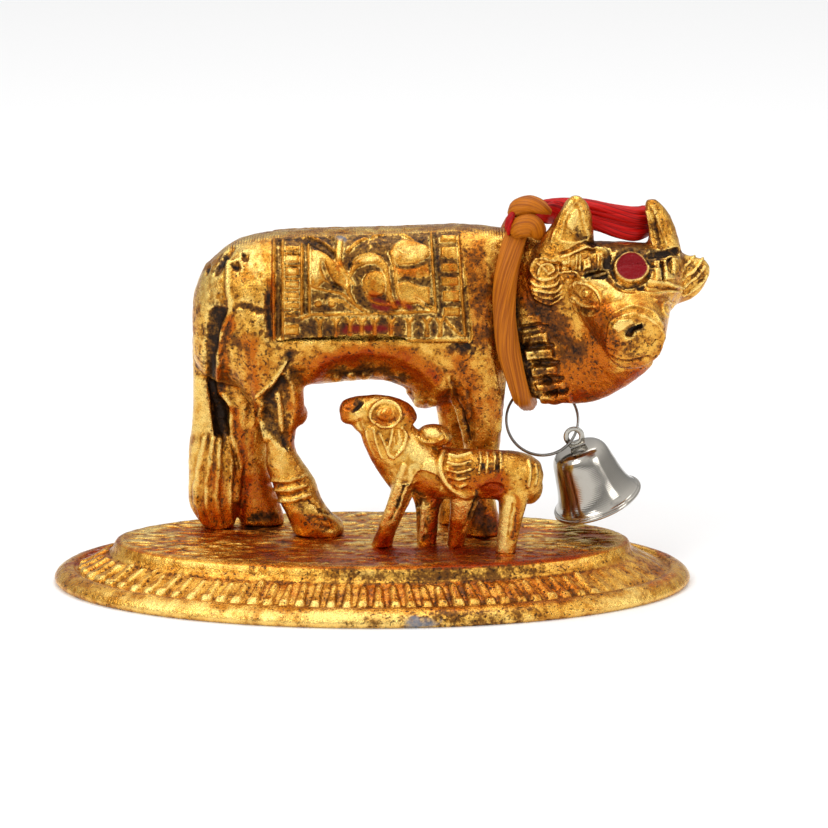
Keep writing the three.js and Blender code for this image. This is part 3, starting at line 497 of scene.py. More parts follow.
skin = base_skin(COLUMNS, PROFILE_ROWS)
shrink = np.linspace(1, 0, PLATE_ROWS + 2)[1:-1]
top = skin[-1] * np.array([1, 1, 0]) * shrink[:, None, None]
fade = np.clip((1 - shrink[:, None]) * 25, 0, 1)
grain = plate_grain(top[..., 0].ravel(), top[..., 1].ravel()).reshape(top.shape[:2])
top[..., 2] = PLATE_TOP + grain * fade
underside = skin[:1] * np.array([0.5, 0.5, 1.0])
base_points, base_faces = capped(np.concatenate([underside, skin, top]))
base_mesh = new_mesh("base_casting", base_points, base_faces)
placed("base_casting", base_mesh, "base")
print("base:", len(base_faces), "quads,", PETALS, "petals")

# %% [markdown]
# Gilding wears off where hands and cloths reach, and lacquer and dark wash stay in the gaps.
# Stains on the base are drawn on its plan, and the height tells petals, lip and plate apart.
# The finish also darkens hollows, partly as wash and partly as painted shade, and the plate's
# rear right is painted lighter, as painted light, with less wash and less of that darkening.

# %% Stains, painted shade and painted light on the base
BASE_AMBER = [[5.5, 1.05, -22, -9, 0, -13, 20, -15, 38, -12], [4.5, 0.7, -36, 4, -20, 0, -6, -2],
    [3.4, 1.7, 2, -9, 27, -9], [1.6, 1.5, 14, -19, 36, -15.5, 42, -13], [3, 1.2, -12, 2, -6, 0],
    [3.5, 0.8, -24, 10, -22, 6], [4, 1.1, 18, 6, 24, 3], [5, 0.85, 28, 4, 42, 2], [3, 0.5, 56, -13, 62, -3],
    [1.2, 1.8, -59, 1, -56, 8, -49, 15], [2, 0.7, 54, 20, 60, 8], [2, 0.8, -46, -6, -38, -10]]
BASE_WASH = [[1.8, 0.5, 44, 7, 48, 5], [2.2, 1, -24, 8, -22, 6]]
BASE_CLEAN = [[4, 0.75, -54, -10, -40, -21, -20, -28, 4, -31], [5, 0.5, 44, -21, 56, -14, 62, -3],
    [6, 0.6, 26, 4, 40, -3]]
BARE_CHIP = [[1.6, 1.3, 7.5, -32.5, 12.5, -32]]

spots = points_of(base_mesh)
x, y, z = spots.T
plan = spots[:, :2] + 1.2 * drift(spots, 2.4)
rubbed = stained(plan, BASE_CLEAN)
dash_share = np.where(z > 8.3, np.clip((z - PLATE_TOP) / 0.2, -1, 1), 0)
in_petals = np.clip((z - 2.5) / 0.6, 0, 1) * np.clip((6.3 - z) / 0.6, 0, 1)
speckled = np.exp(-((x - 12) / 24) ** 4) * (y < 0) * (z < 8.4) * (1 - in_petals)
# rear_right: a patch on the plate painted lighter, as painted light, with less wash and hollow darkening
rear_right = np.exp(-(((plan[:, 0] - 42) / 14) ** 2 + ((plan[:, 1] - 6) / 9) ** 2) ** 2)
amber = stained(plan, BASE_AMBER) * ((z > 8) | (x < -44) | (x > 50))
amber = amber - np.where(z < 8, 0.8, 0.45) * rubbed + 0.50 * in_petals - 0.45 * dash_share
wash = stained(plan, BASE_WASH) * (z > 8) + 0.60 * speckled + 0.24 * in_petals
chip = stained(plan, BARE_CHIP) * np.clip((2.9 - z) / 0.6, 0, 1) * (y < 0)
mark(base_mesh, "amber", amber)
mark(base_mesh, "wash", wash - 0.35 * rubbed - 0.30 * rear_right)
# How hollow each place is: the finish darkens hollows with it, partly as wash and partly as painted shade
mark(base_mesh, "hollow", hollow_of(base_mesh, 6, 0.16) - 0.5 * dash_share - 0.5 * rear_right)
mark(base_mesh, "bare", np.clip(chip + 0.5 * noise(spots, 0.8) - 0.5, 0, 0.8) * (chip > 0.1))
print("base stains:", len(BASE_AMBER), "of amber,", len(BASE_CLEAN), "rubbed clean")

# %% [markdown]
# The cow is melted together from limbs that are the frame's own tables, so that every form
# stays where its solid is. The fine grid of the melted skin is what the chasing is cut into.
# A row of a limb is its centre and two radii: the first up and down, or fore and aft where
# the limb is upright, and the second across. The trunk's rows are its place along the back,
# its lowest and highest points and its half width.

# %% The cow's forms
COW_Y, FOOT = 7.5, 8.75
ALONG_X, DOWN = (1, 0, 0), (0, 0, -1)
TRUNK_ROUNDNESS = 2.5
TRUNK = [[-35.4, 44, 57, 4.6], [-33.6, 41, 61.6, 6.8], [-30.4, 39.5, 65.2, 8.8], [-26.5, 38.6, 67.8, 10.2],
    [-21, 38.2, 69.3, 10.8], [-12, 39, 69.9, 11.1], [2, 39.9, 70.2, 11], [10, 36.4, 70.6, 10.6],
    [16, 35, 70.9, 10.2], [21, 37, 70.8, 9.4], [24.5, 40, 70.4, 8.4], [28, 42, 70, 7.4],
    [33, 42.6, 69.4, 6.6]]
TRUNK_ROWS = [[x, COW_Y, (low + high) / 2, (high - low) / 2, half] for x, low, high, half in TRUNK]
HIND_NEAR = [[-19.5, 5, 60, 6, 7.6], [-20.6, 4.2, 52, 8.4, 8.4], [-20.8, 3.6, 44, 7.8, 7.3],
    [-19.6, 3.2, 38, 6, 5.6], [-18.2, 3, 34, 4.6, 4.4], [-18.5, 3, 30, 3.3, 3.5],
    [-18.2, 3, 26.5, 2.9, 3.1], [-17.5, 3, 23.5, 3.8, 3.3], [-15.8, 3, 20, 4.4, 3.4],
    [-14.7, 3, 16.5, 4.4, 3.4], [-12.9, 3, 13.4, 4.5, 3.8], [-11.2, 3, 11, 5.3, 4],
    [-10.6, 3, FOOT, 5.1, 3.6]]
HIND_FAR = [[-23, 10.5, 52, 8, 7.6], [-24.5, 11.2, 42, 7.6, 6.6], [-25.8, 11.2, 34, 6.4, 5],
    [-26.2, 11, 27, 5.4, 4], [-25.4, 10.8, 21.5, 4.6, 3.4], [-24, 10.8, 17, 3.6, 3.2],
    [-22.8, 10.8, 12, 4.4, 3.6], [-22.4, 10.8, FOOT, 4.6, 3.6]]
FORE_NEAR = [[19.6, 4.6, 54, 6.4, 6.6], [20.2, 4, 46, 6.6, 6], [20.8, 3.8, 40, 5.8, 5],
    [21.4, 3.8, 34, 4.7, 4.2], [21.8, 3.8, 28, 3.8, 3.6], [21.6, 3.8, 22, 3.3, 3.3],
    [21.2, 3.8, 17, 3.3, 3.3], [21.4, 3.8, 12.5, 3.9, 3.7], [21.9, 3.6, FOOT, 4.5, 3.8]]
FORE_FAR = [[16, 10, 52, 6, 6], [16, 11, 42, 5, 5], [16.4, 11.4, 34, 3.8, 4], [17, 11.4, 26, 3.3, 3.4],
    [16.6, 11.4, 19, 3.1, 3.2], [16.8, 11.4, 13, 3.6, 3.5], [17.2, 11.4, FOOT, 4.2, 3.6]]
TAIL = [[-31.2, 8.2, 63, 1.8, 2], [-33.4, 8.2, 56.5, 2, 2.6], [-33.8, 8.2, 48, 2, 2.8],
    [-33.6, 8.2, 38, 2.2, 2.8], [-33.2, 8.2, 31, 2.9, 3], [-32.6, 8.2, 25, 4.2, 3.5],
    [-31.9, 8.2, 19, 5.1, 3.8], [-31.8, 8.2, 13, 4.9, 3.8], [-30.9, 8.2, FOOT, 3, 3.2]]
SPINE = [[x, COW_Y, z, 0.9, 2.4] for x, z in
         ((-26, 66.8), (-21, 68.4), (-12, 69.2), (2, 69.6), (14, 69.9), (23, 69.8))]
NECK = [[27, 7, 56.2, 13.2, 7], [31, 6, 56.4, 13.2, 7.2], [35, 4.4, 57, 12.6, 7.4], [39, 3, 57, 12, 8],
    [44, 2, 57.2, 11.6, 8.4], [49, 1.4, 57.8, 11, 8.2], [54, 1.2, 59.6, 8.9, 7.4],
    [58.6, 1.6, 61.6, 6.6, 5.6], [61, 2.2, 62, 4.6, 3.4]]
DEWLAP = [[31, 0.8, 48.5, 5.4, 2.4], [33.4, 0.4, 46, 8.2, 2.9], [37, -0.2, 44.6, 7.9, 3.4],
    [41, -1.4, 45, 8.2, 3.8], [45, -2.8, 47.2, 8.2, 4.2], [49, -4.6, 49.6, 7.4, 4.4],
    [52, -6.4, 51.4, 6.2, 4]]
SNOUT = [[49, -3, 61, 7.6, 10.6], [49.8, -6.4, 57.4, 7.4, 9], [50.6, -10, 54.2, 6.8, 7.2],
    [51, -12.6, 52.6, 6.2, 6.2]]
RIGHT_EAR = [[58, 2, 61.8, 6, 3], [61.6, 3, 61.8, 5.2, 2.2], [64.6, 3.6, 63, 3, 1.6],
    [66.2, 3.8, 64, 1.2, 0.8]]
LEFT_HORN = [[37.8, 0, 66, 6.2, 4.6], [38.6, -0.2, 69, 5.2, 3.8], [39.4, -0.4, 72, 4.2, 3],
    [39.9, -0.5, 75, 3.2, 2.4], [40, -0.6, 77.4, 2.1, 1.6], [40.1, -0.6, 78.6, 0.9, 0.8]]
RIGHT_HORN = [[57.6, 2.6, 66, 3.4, 3.8], [57.3, 2.6, 69, 3, 3.2], [56.8, 2.6, 72, 2.5, 2.7],
    [55.6, 2.6, 74.6, 2.1, 2.1], [54.8, 2.6, 76.4, 1.4, 1.3], [54.5, 2.6, 77.3, 0.6, 0.6]]
MUZZLE = np.array([51.2, -13.4, 52.2])
MUZZLE_RADIUS, MUZZLE_DEPTH, MUZZLE_CROWN = 5.7, 1.5, 0.9
FACE_FORWARD = unit(np.array([0.22, -0.95, -0.2]))

def muzzle_disc():
    """The muzzle: a disc with a crown, standing square to the way the face looks."""
    rows = [[-MUZZLE_DEPTH, 1.05], [-0.5, 1.04], [0.1, 1.0], [0.4, 0.88],
            [0.8 * MUZZLE_CROWN, 0.6], [MUZZLE_CROWN, 0.2]]
    table = [[*(MUZZLE + FACE_FORWARD * t), MUZZLE_RADIUS * r, MUZZLE_RADIUS * r] for t, r in rows]
    return loft(table, facing=FACE_FORWARD, across=(1, 0, 0), fine=3)

cow_forms = [
    loft(TRUNK_ROWS, sides=56, roundness=TRUNK_ROUNDNESS, facing=ALONG_X),
    loft(SPINE, facing=ALONG_X),
    *[loft(leg, roundness=2.2, facing=DOWN) for leg in (HIND_NEAR, HIND_FAR, FORE_NEAR, FORE_FAR)],
    loft(TAIL, facing=DOWN),
    lump([10.8, 7, 36.5], [3.2, 4.6, 2.6], [0, -20, 0]),
    lump([-15, 4, 33.4], [2.2, 3.6, 2.2]),
    lump([12.5, 7, 39], [6, 7, 4.6], [0, -20, 0]),
    loft(NECK, sides=48, roundness=2.3, facing=ALONG_X),
    loft(DEWLAP),
    loft(SNOUT, sides=40, across=(np.cos(0.2), np.sin(0.2), 0)),
    loft(RIGHT_EAR),
    loft(LEFT_HORN),
    loft(RIGHT_HORN),
    muzzle_disc(),
    lump([34, 0.2, 61.6], [3.6, 4.6, 6.2]),
    lump([43.4, -4.6, 59.6], [5, 4, 4], [0, 30, 0]),
    lump([55.6, -4.2, 60.6], [4.6, 3.6, 3.4], [0, -10, 0]),
]
cow_mesh = fused("cow_casting", cow_forms, 0.5)

# %% [markdown]
# Only what the viewer's side shows needs the finest grid. The quads of the head are split in
# four where they face the viewer, and the rest of the skin keeps the coarser one.

# %% A finer grid where the chasing is close
def refined(mesh, wanted):
    """Edges whose two ends are wanted are split once, with their quads."""
    work = bmesh.new()
    work.from_mesh(mesh)
    work.verts.ensure_lookup_table()
    edges = [edge for edge in work.edges if all(wanted[corner.index] for corner in edge.verts)]
    bmesh.ops.subdivide_edges(work, edges=edges, cuts=1, use_grid_fill=True)
    work.to_mesh(mesh)
    work.free()
    mesh.update()
    print("refined to", len(mesh.polygons), "faces")

def on_head(points):
    """True for the head and throat, on the viewer's side."""
    return (points[:, 0] > 28.5) & (points[:, 1] < 6.5)

refined(cow_mesh, on_head(points_of(cow_mesh)) & (facing_viewer(normals_of(cow_mesh)) > 0.02))

# %% [markdown]
# The chasing of the head: a headband of cells with the painted mark in its middle, almond
# eyes, ears with a swirl and a fan of folds, the muzzle with its nostril and mouth, and the
# six bars of the collar under the throat.

# %% Chasing on the head
PAINTED_MARK = (51.3, 28.8)
HEAD_TABLE = {
    "ridge": [[0.42, 0.5, 31.5, 28.9, 32.5, 30.5, 34.7, 30.9, 36.7, 29.7, 36.8, 27.7, 34.9, 26.7, 32.5,
         27.1, 31.5, 28.5], [0.35, 0.45, 32.9, 27.7, 33.5, 29.3, 35.1, 29.7, 36.1, 28.5, 35.1, 27.7],
        [0.3, 0.35, 32.3, 30.1, 33.9, 28.9, 34.7, 28.1],
        [0.45, 0.6, 31.3, 26.7, 32.5, 25.7, 34.3, 25.3, 36.1, 25.7, 37.2, 26.7],
        [0.45, 0.6, 31.5, 25.5, 32.7, 24.5, 34.7, 24.2, 36.5, 24.5, 37.6, 25.5],
        [0.45, 0.6, 31.9, 24.4, 33.3, 23.4, 35.1, 23, 36.7, 23.4, 37.6, 24.4],
        [0.45, 0.6, 32.5, 23.2, 33.9, 22.4, 35.5, 22, 36.8, 22.4, 37.6, 23.2],
        [0.36, 0.55, 39.2, 24.9, 40.6, 25.9, 43, 25.5, 45.2, 23, 45.6, 20.8],
        [0.55, 0.65, 39.8, 23.2, 41.8, 21.6, 44.4, 21],
        [0.3, 0.35, 39.2, 23.2, 40.6, 20.4, 43.6, 19.4, 45.6, 20.6],
        [0.9, 0.35, 38.8, 26.3, 42, 26.7, 44.8, 26.3, 46.9, 25.1],
        [0.6, 0.5, 55.1, 26.3, 57.8, 25.9, 61, 25.1],
        [0.5, 0.4, 52.5, 24.4, 55.5, 23.8, 58.6, 24.2, 61.2, 24.4],
        [0.4, 0.3, 56.1, 22.6, 57.8, 22.6, 59.8, 21.8],
        [0.42, 0.75, 37.4, 31.1, 39.8, 31.9, 42, 32.9, 43.6, 32.7, 47.1, 32.3],
        [0.4, 0.6, 37.2, 27.9, 40, 28.1, 41.6, 26.7, 44.8, 26.3],
        [0.4, 0.22, 46.6, 13.7, 47.5, 18.2, 51.5, 19.8, 55.5, 18.4, 58, 15.2, 56.6, 11.3],
        [0.45, 0.3, 47.3, 19.4, 49.5, 20.8, 52.3, 21.4, 55.5, 20.2, 57.4, 17.8],
        [0.4, 0.45, 61.6, 24.9, 63.8, 26.9, 66, 29.3], [0.4, 0.45, 61.4, 26.5, 63.4, 28.1, 65.6, 30.7],
        [0.4, 0.45, 61.8, 23.6, 64.2, 24.9, 66.2, 27.3], [0.4, 0.45, 61.2, 28.3, 62.6, 29.9, 64.4, 31.7],
        [0.5, 0.25, 35.7, 34.1, 36.5, 36.8, 37.8, 40, 39.4, 42],
        [0.4, 0.35, 54.5, 40, 55.1, 36.8, 55.7, 33.7], [0.35, 0.2, 56.4, 39.2, 57.4, 36.4, 58.2, 33.7]],
    "groove": [[0.5, 0.45, 29.5, 17, 34.5, 17.4], [0.5, 0.45, 30.1, 13.2, 35.7, 13.6],
        [0.5, 0.45, 31.3, 9.9, 36.7, 10.4], [0.5, 0.45, 32.1, 6.8, 37.6, 7.2],
        [0.5, 0.45, 32.9, 4.2, 38.6, 4.7], [0.8, 1, 32.3, 10.1, 32.9, 9.9], [0.8, 1, 34.3, 6.9, 35.1, 6.7],
        [0.8, 1, 34.9, 4.4, 36.1, 4.2], [0.6, 0.25, 30.9, 25.7, 32.3, 22.2, 35.3, 21],
        [0.35, 0.3, 40, 24, 42, 22.6, 44.4, 21.8], [0.5, 0.2, 40.4, 21.8, 41.8, 20.8, 43.8, 20.4],
        [0.4, 0.3, 54.7, 25.3, 57.8, 24.9, 61, 24.5],
        [0.4, 0.4, 36.8, 31.7, 39.6, 32.7, 42, 33.8, 45.2, 33.3],
        [0.7, 0.6, 46.9, 26.7, 49.1, 24.9, 52.3, 24.4, 54.1, 24.9],
        [0.3, 0.35, 46.7, 11.3, 49.1, 10.5, 51.9, 10.7, 55.1, 11.3],
        [0.28, 0.2, 48.3, 9.5, 51.1, 8.9, 53.7, 9.3], [0.25, 0.25, 54.1, 14.5, 55.5, 13.7, 56.3, 14.7],
        [0.3, 0.4, 47.7, 14.1, 48.7, 13.5], [0.3, 0.4, 47.1, 12.9, 48.3, 12.3],
        [0.22, 0.3, 49.5, 14.1, 50.3, 13.7], [0.3, 0.35, 63, 30.7, 63.6, 30.1],
        [0.3, 0.35, 64.8, 26.3, 65.6, 26.7], [0.3, 0.35, 64.4, 28.9, 65, 28.1],
        [0.6, 0.3, 41.2, 36.4, 41.6, 34.8], [0.4, 0.3, 55.5, 40, 56.1, 37.2, 56.6, 34.4]],
    "plate": [[0.45, 0.5, 29.3, 19.4, 33.5, 19.8, 33.7, 18.2, 29.5, 17.8],
        [0.45, 0.9, 29.7, 15.8, 34.9, 16.4, 35.1, 14.3, 30.1, 13.7],
        [0.45, 1, 30.3, 12.5, 35.9, 12.9, 36.1, 11.1, 30.7, 10.5],
        [0.45, 1, 31.5, 9.3, 36.8, 9.7, 37, 7.9, 31.9, 7.5],
        [0.45, 1, 32.3, 6.1, 38.2, 6.5, 38.4, 5.1, 32.9, 4.8],
        [0.45, 0.9, 32.9, 3.6, 39.2, 4.4, 39.8, 2.6, 33.5, 2.2],
        [1, 0.45, 45.4, 24.5, 47.5, 25.1, 50.3, 24.4, 49.5, 22.6, 46.4, 22, 45.4, 23],
        [0.4, 0.45, 37.6, 30.5, 38.8, 30.7, 38.8, 28.3, 37.6, 28.3],
        [0.4, 0.3, 39.2, 30.5, 40.2, 30.7, 40.4, 28.5, 39.4, 28.3],
        [0.35, 0.7, 41.6, 30.7, 43.2, 31.1, 43.4, 28.7, 41.8, 28.3],
        [0.35, 0.3, 54.3, 32.5, 57, 32.9, 57.8, 31.3, 55.1, 31.1],
        [0.5, 0.55, 55.7, 30.3, 60.6, 30.9, 61, 26.7, 56.1, 26.3],
        [0.8, 0.55, 47.5, 17.2, 48.7, 18.6, 51.1, 18.8, 52.5, 18.2, 50.7, 17.2, 48.7, 16],
        [0.6, 0.3, 38.4, 37.2, 39.2, 40, 40.6, 41, 41, 39.2, 39.8, 36.4],
        [0.5, 0.25, 55.1, 41.4, 56.1, 41.6, 56.6, 40, 55.7, 39.2]],
    "well": [[0.3, 0.35, 43.6, 31.3, 44.6, 31.5, 44.8, 28.9, 43.8, 28.7],
        [0.4, 0.7, 45.8, 31.9, 47.3, 31.7, 47.3, 28.9, 46, 28.9],
        [0.45, 0.8, 42, 27.9, 46, 28.3, 46.2, 26.7, 42.2, 26.7],
        [0.5, 0.75, 54.5, 31.7, 57, 32.3, 60.6, 33.1, 60.8, 31.5, 57.8, 31.1, 55.1, 30.7],
        [0.25, 1.2, 56.9, 30.1, 57.8, 30.1, 58, 26.5, 57.2, 26.5],
        [0.25, 1.2, 58.4, 30.7, 59.4, 30.7, 59.6, 27.7, 58.8, 27.5],
        [0.45, 1.1, 50.1, 15.6, 51.3, 16.8, 53.3, 17.7, 53.7, 16.8, 52.3, 16.2, 51.5, 15.2, 50.5, 15],
        [0.45, 0.45, 37.4, 34.4, 38.2, 38, 39.4, 40.8, 40.6, 41.8, 41.6, 39.6, 42.2, 36.8, 42.4, 34.4]],
}
HEAD_FIGURES = figures(HEAD_TABLE) + [
    *[figure("ridge", [x, 28.6, x + 0.1, 31.4], 0.28, 0.5) for x in (39.0, 40.4, 41.1, 44.8)],
    figure("plate", ring(42.4, 23.9, 0.75, 0.75), 0.3, 0.5),
    figure("groove", ring(42.4, 23.9, 0.95, 0.95), 0.22, 0.3),
    figure("ridge", ring(58.6, 20.8, 0.95, 1.5), 0.3, 0.4),
    figure("plate", ring(58.6, 20.8, 0.4, 0.7), 0.3, 0.35),
    figure("plate", ring(*PAINTED_MARK, 3.35, 3.05), 0.45, 1.0),
    figure("well", ring(*PAINTED_MARK, 2.9, 2.6, 345), 0.5, 0.28),
    figure("groove", ring(*PAINTED_MARK, 3.9, 3.6), 0.5, 0.5),
]
print("head:", len(HEAD_FIGURES), "figures")

# %% [markdown]
# The haunch and legs carry fewer cuts: the black groove between the tail and the haunch, the
# locks of the tail, the anklets, and the deep creases of the fore leg. The udder's edge is a
# row of small soft beads.

# %% Chasing on the body
BODY_TABLE = {
    "ridge": [[0.7, 0.7, -28.3, 30.1, -28.3, 24.5, -27.9, 21.4, -29.7, 15.4, -30.3, 9.7, -30.1, 4.8, -27.7,
         1.6, -27.7, -4, -26.1, -9.5, -26.9, -17], [0.35, 0.3, -26.1, 32.1, -24.3, 32.3, -23.9, 30.3],
        [0.35, 0.3, -27.9, 30.1, -26.1, 30.5, -25.7, 28.5],
        [0.6, 0.5, -33, -4.6, -34.4, -11.1, -34.8, -17, -33.2, -21.6],
        [0.6, 0.5, -31.5, -4.6, -32.4, -11.1, -32.8, -17, -31.7, -22],
        [0.6, 0.5, -29.9, -4.2, -30.5, -10.7, -30.7, -17, -29.9, -22.2],
        [0.6, 0.5, -28.5, -4.4, -27.9, -10.7, -28.1, -17, -27.9, -21.6],
        [0.5, 0.6, -20.6, -13.1, -16.8, -13.1, -13.2, -12.1],
        [0.45, 0.6, -20, -15, -16.2, -15, -12.8, -14.1], [0.5, 0.6, -18.8, -17.2, -15.6, -17, -12.2, -15.8],
        [0.7, 0.9, -18.6, 3.6, -18.2, 0.4, -17.8, -3.6],
        [0.5, 0.55, -16.6, 11.1, -19, 7.1, -22.7, 3.4, -21.8, 1.4, -22.1, -1.2, -21, -5.1],
        [2.2, 0.55, -13.6, -3.2, -14, 1.8, -12.2, 7.1, -8.3, 11.1, -1.6, 12.7, 4, 11.9, 9.1, 9.5, 13.1,
         5.1], [0.35, 0.5, 15.3, 7.1, 15.9, 3, 17.6, -1, 18.6, -5.3],
        [0.7, 0.2, 23.4, 12.7, 24.6, 7.7, 25.4, 2.4, 25.2, -3.2]],
    "groove": [[0.55, 0.75, -27.5, 32.7, -29.1, 30.7, -30.7, 27.7], [0.45, 0.5, -32.2, 29.3, -32.8, 27.7],
        [0.5, 0.3, -22.3, 27.7, -22, 27.3], [0.9, 0.45, -26.3, 21.6, -24.1, 21.2, -21.8, 20.2],
        [0.9, 0.45, -20.6, 23.4, -20.4, 19, -19.8, 15], [0.7, 0.35, -21.8, 16.2, -19.8, 15],
        [0.8, 0.3, -28.5, 12.3, -28.3, 6.7, -27.3, 2.8], [0.9, 0.25, -24.7, 13.7, -24.1, 4.8, -24.9, -5.1],
        [0.3, 0.35, -32.2, -4.6, -33.4, -11.1, -33.8, -17, -32.4, -21.8],
        [0.3, 0.35, -30.7, -4.4, -31.5, -11.1, -31.9, -17, -30.9, -22.2],
        [0.3, 0.35, -29.1, -4.2, -29.3, -10.7, -29.7, -17, -28.9, -22],
        [0.35, 0.35, -20.2, -14.1, -16.6, -14.1, -13, -13.1],
        [0.35, 0.35, -19.4, -16.2, -15.8, -16.2, -12.6, -15], [0.3, 0.4, -12.6, -17, -10.7, -18.2],
        [0.3, 0.4, -11.9, -20.4, -9.1, -20.8], [0.3, 0.4, -10.7, -18.8, -8.7, -19.8],
        [0.5, 0.5, 15.9, 7.1, 16.7, 3, 18.4, -1, 19.4, -5.1], [0.8, 0.25, 19, 4.4, 19.6, 0.4, 20, -4.4],
        [0.4, 0.35, -10.7, -21.8, -9.1, -22.6, -7.5, -22.4]],
    "well": [[1.7, 0.9, -32.6, 20.2, -30.9, 21.4, -28.5, 20.8, -30.3, 15.6, -31.1, 9.7, -30.9, 4.4, -28.9,
         2, -28.7, -4, -31.3, -4.2, -32, 3.2, -33, 10.7],
        [0.35, 0.65, -25.7, 31.7, -24.5, 31.9, -24.3, 30.5, -25.5, 30.3],
        [0.35, 0.65, -27.5, 29.9, -26.3, 30.1, -26.1, 28.7, -27.3, 28.5], [1.5, 0.85, -17.6, 7.9, -16.2,
         6.1, -15.6, 2.8, -16, -1.2, -16.4, -6.7, -18.8, -5.9, -21, -3.6, -21.8, 0.4, -21.8, 2.8, -20, 5.1],
        [0.6, 0.45, 16.7, 13.9, 18, 13.9, 19.4, 14.1, 19.4, 12.7, 18, 11.3, 17.1, 12.3]],
}
BELLY_BEADS = [(-13.6, -2.0), (-12.4, 3.2), (-7.1, 6.7), (-3.9, 7.3), (-1.2, 7.7), (3.2, 5.9),
               (6.4, 4.4), (9.5, 2.4), (11.9, 2.4)]
BODY_FIGURES = figures(BODY_TABLE)
BODY_FIGURES += [figure("plate", ring(*bead, 1.2, 1.0), 0.8, 0.6) for bead in BELLY_BEADS]
print("body:", len(BODY_FIGURES), "figures")

# %% [markdown]
# Where the lacquer has run and where the dark wash was left is as much a part of this figure
# as its shape. Both are soft ragged stains along a few lines, kept as numbers per vertex.
# Painted shade goes with them: amber on what faces down, the dark of the near fore hoof behind
# the calf, and the hollows, which the finish darkens partly as wash and partly as shade.

# %% Stains and painted shade on the cow
COW_AMBER_AND_SHADE = [[3, 1.1, -24.5, -13.5, -25.7, -20.2], [2.6, 1.1, -21, -13.9, -20.6, -20.2],
    [2.4, 1, -33.4, -20.2, -26.9, -19.8], [1.8, 0.8, -31.3, -11.1, -29.3, -18],
    [1.7, 1, -17.8, -21.2, -7.5, -21.8], [1.2, 0.8, -21, -11.1, -18.2, -19],
    [1.9, 1.25, -14.6, -6.1, -14.2, 2.8, -9.1, 10.3, -1.4, 12.3, 5.6, 11.5, 12.3, 7.1],
    [1, 1.1, -27.9, 19, -29.7, 13.7, -29.9, 4.4, -26.9, -1.2, -25.9, -9.5, -24.9, -12.7],
    # The second row of the next line, on the near fore hoof behind the calf, is painted shade as well as
    # lacquer.
    [1.1, 0.7, -23.7, 12.7, -22.9, 2.8, -24.1, -9.1], [3, 1.4, 19.4, -18, 25.4, -23.4],
    [1.8, 0.8, 14.1, 3.8, 14.7, -5.1], [2.2, 0.55, 23.4, 12.3, 24.6, -5.1], [3, 0.85, 21, 33.7, 22, 15.6],
    [4, 0.6, 17.8, 10.7, 20.2, -0.2], [2.6, 0.5, -24.9, 13.7, -23.7, 4.8],
    [4, 0.95, 45.2, 21.4, 44.4, 12.7, 45.6, 5.7], [3.2, 1.1, 38.4, 3.2, 47.5, 4.4, 53.1, 7.1],
    [4, 0.9, 34.3, 20.6, 38.2, 13.7, 37.2, 6.7], [2, 0.4, -17.4, -8.1, -15, -13.1],
    [3.4, 0.9, 41.2, 12.7, 42.2, 6.7], [1.9, 1.1, 30.1, 28.5, 30.5, 23.4, 32.5, 21.4],
    [2.4, 0.7, 53.1, 22.6, 56.1, 22], [0.9, 0.6, -20.6, 33.5, -19.8, 15.6]]
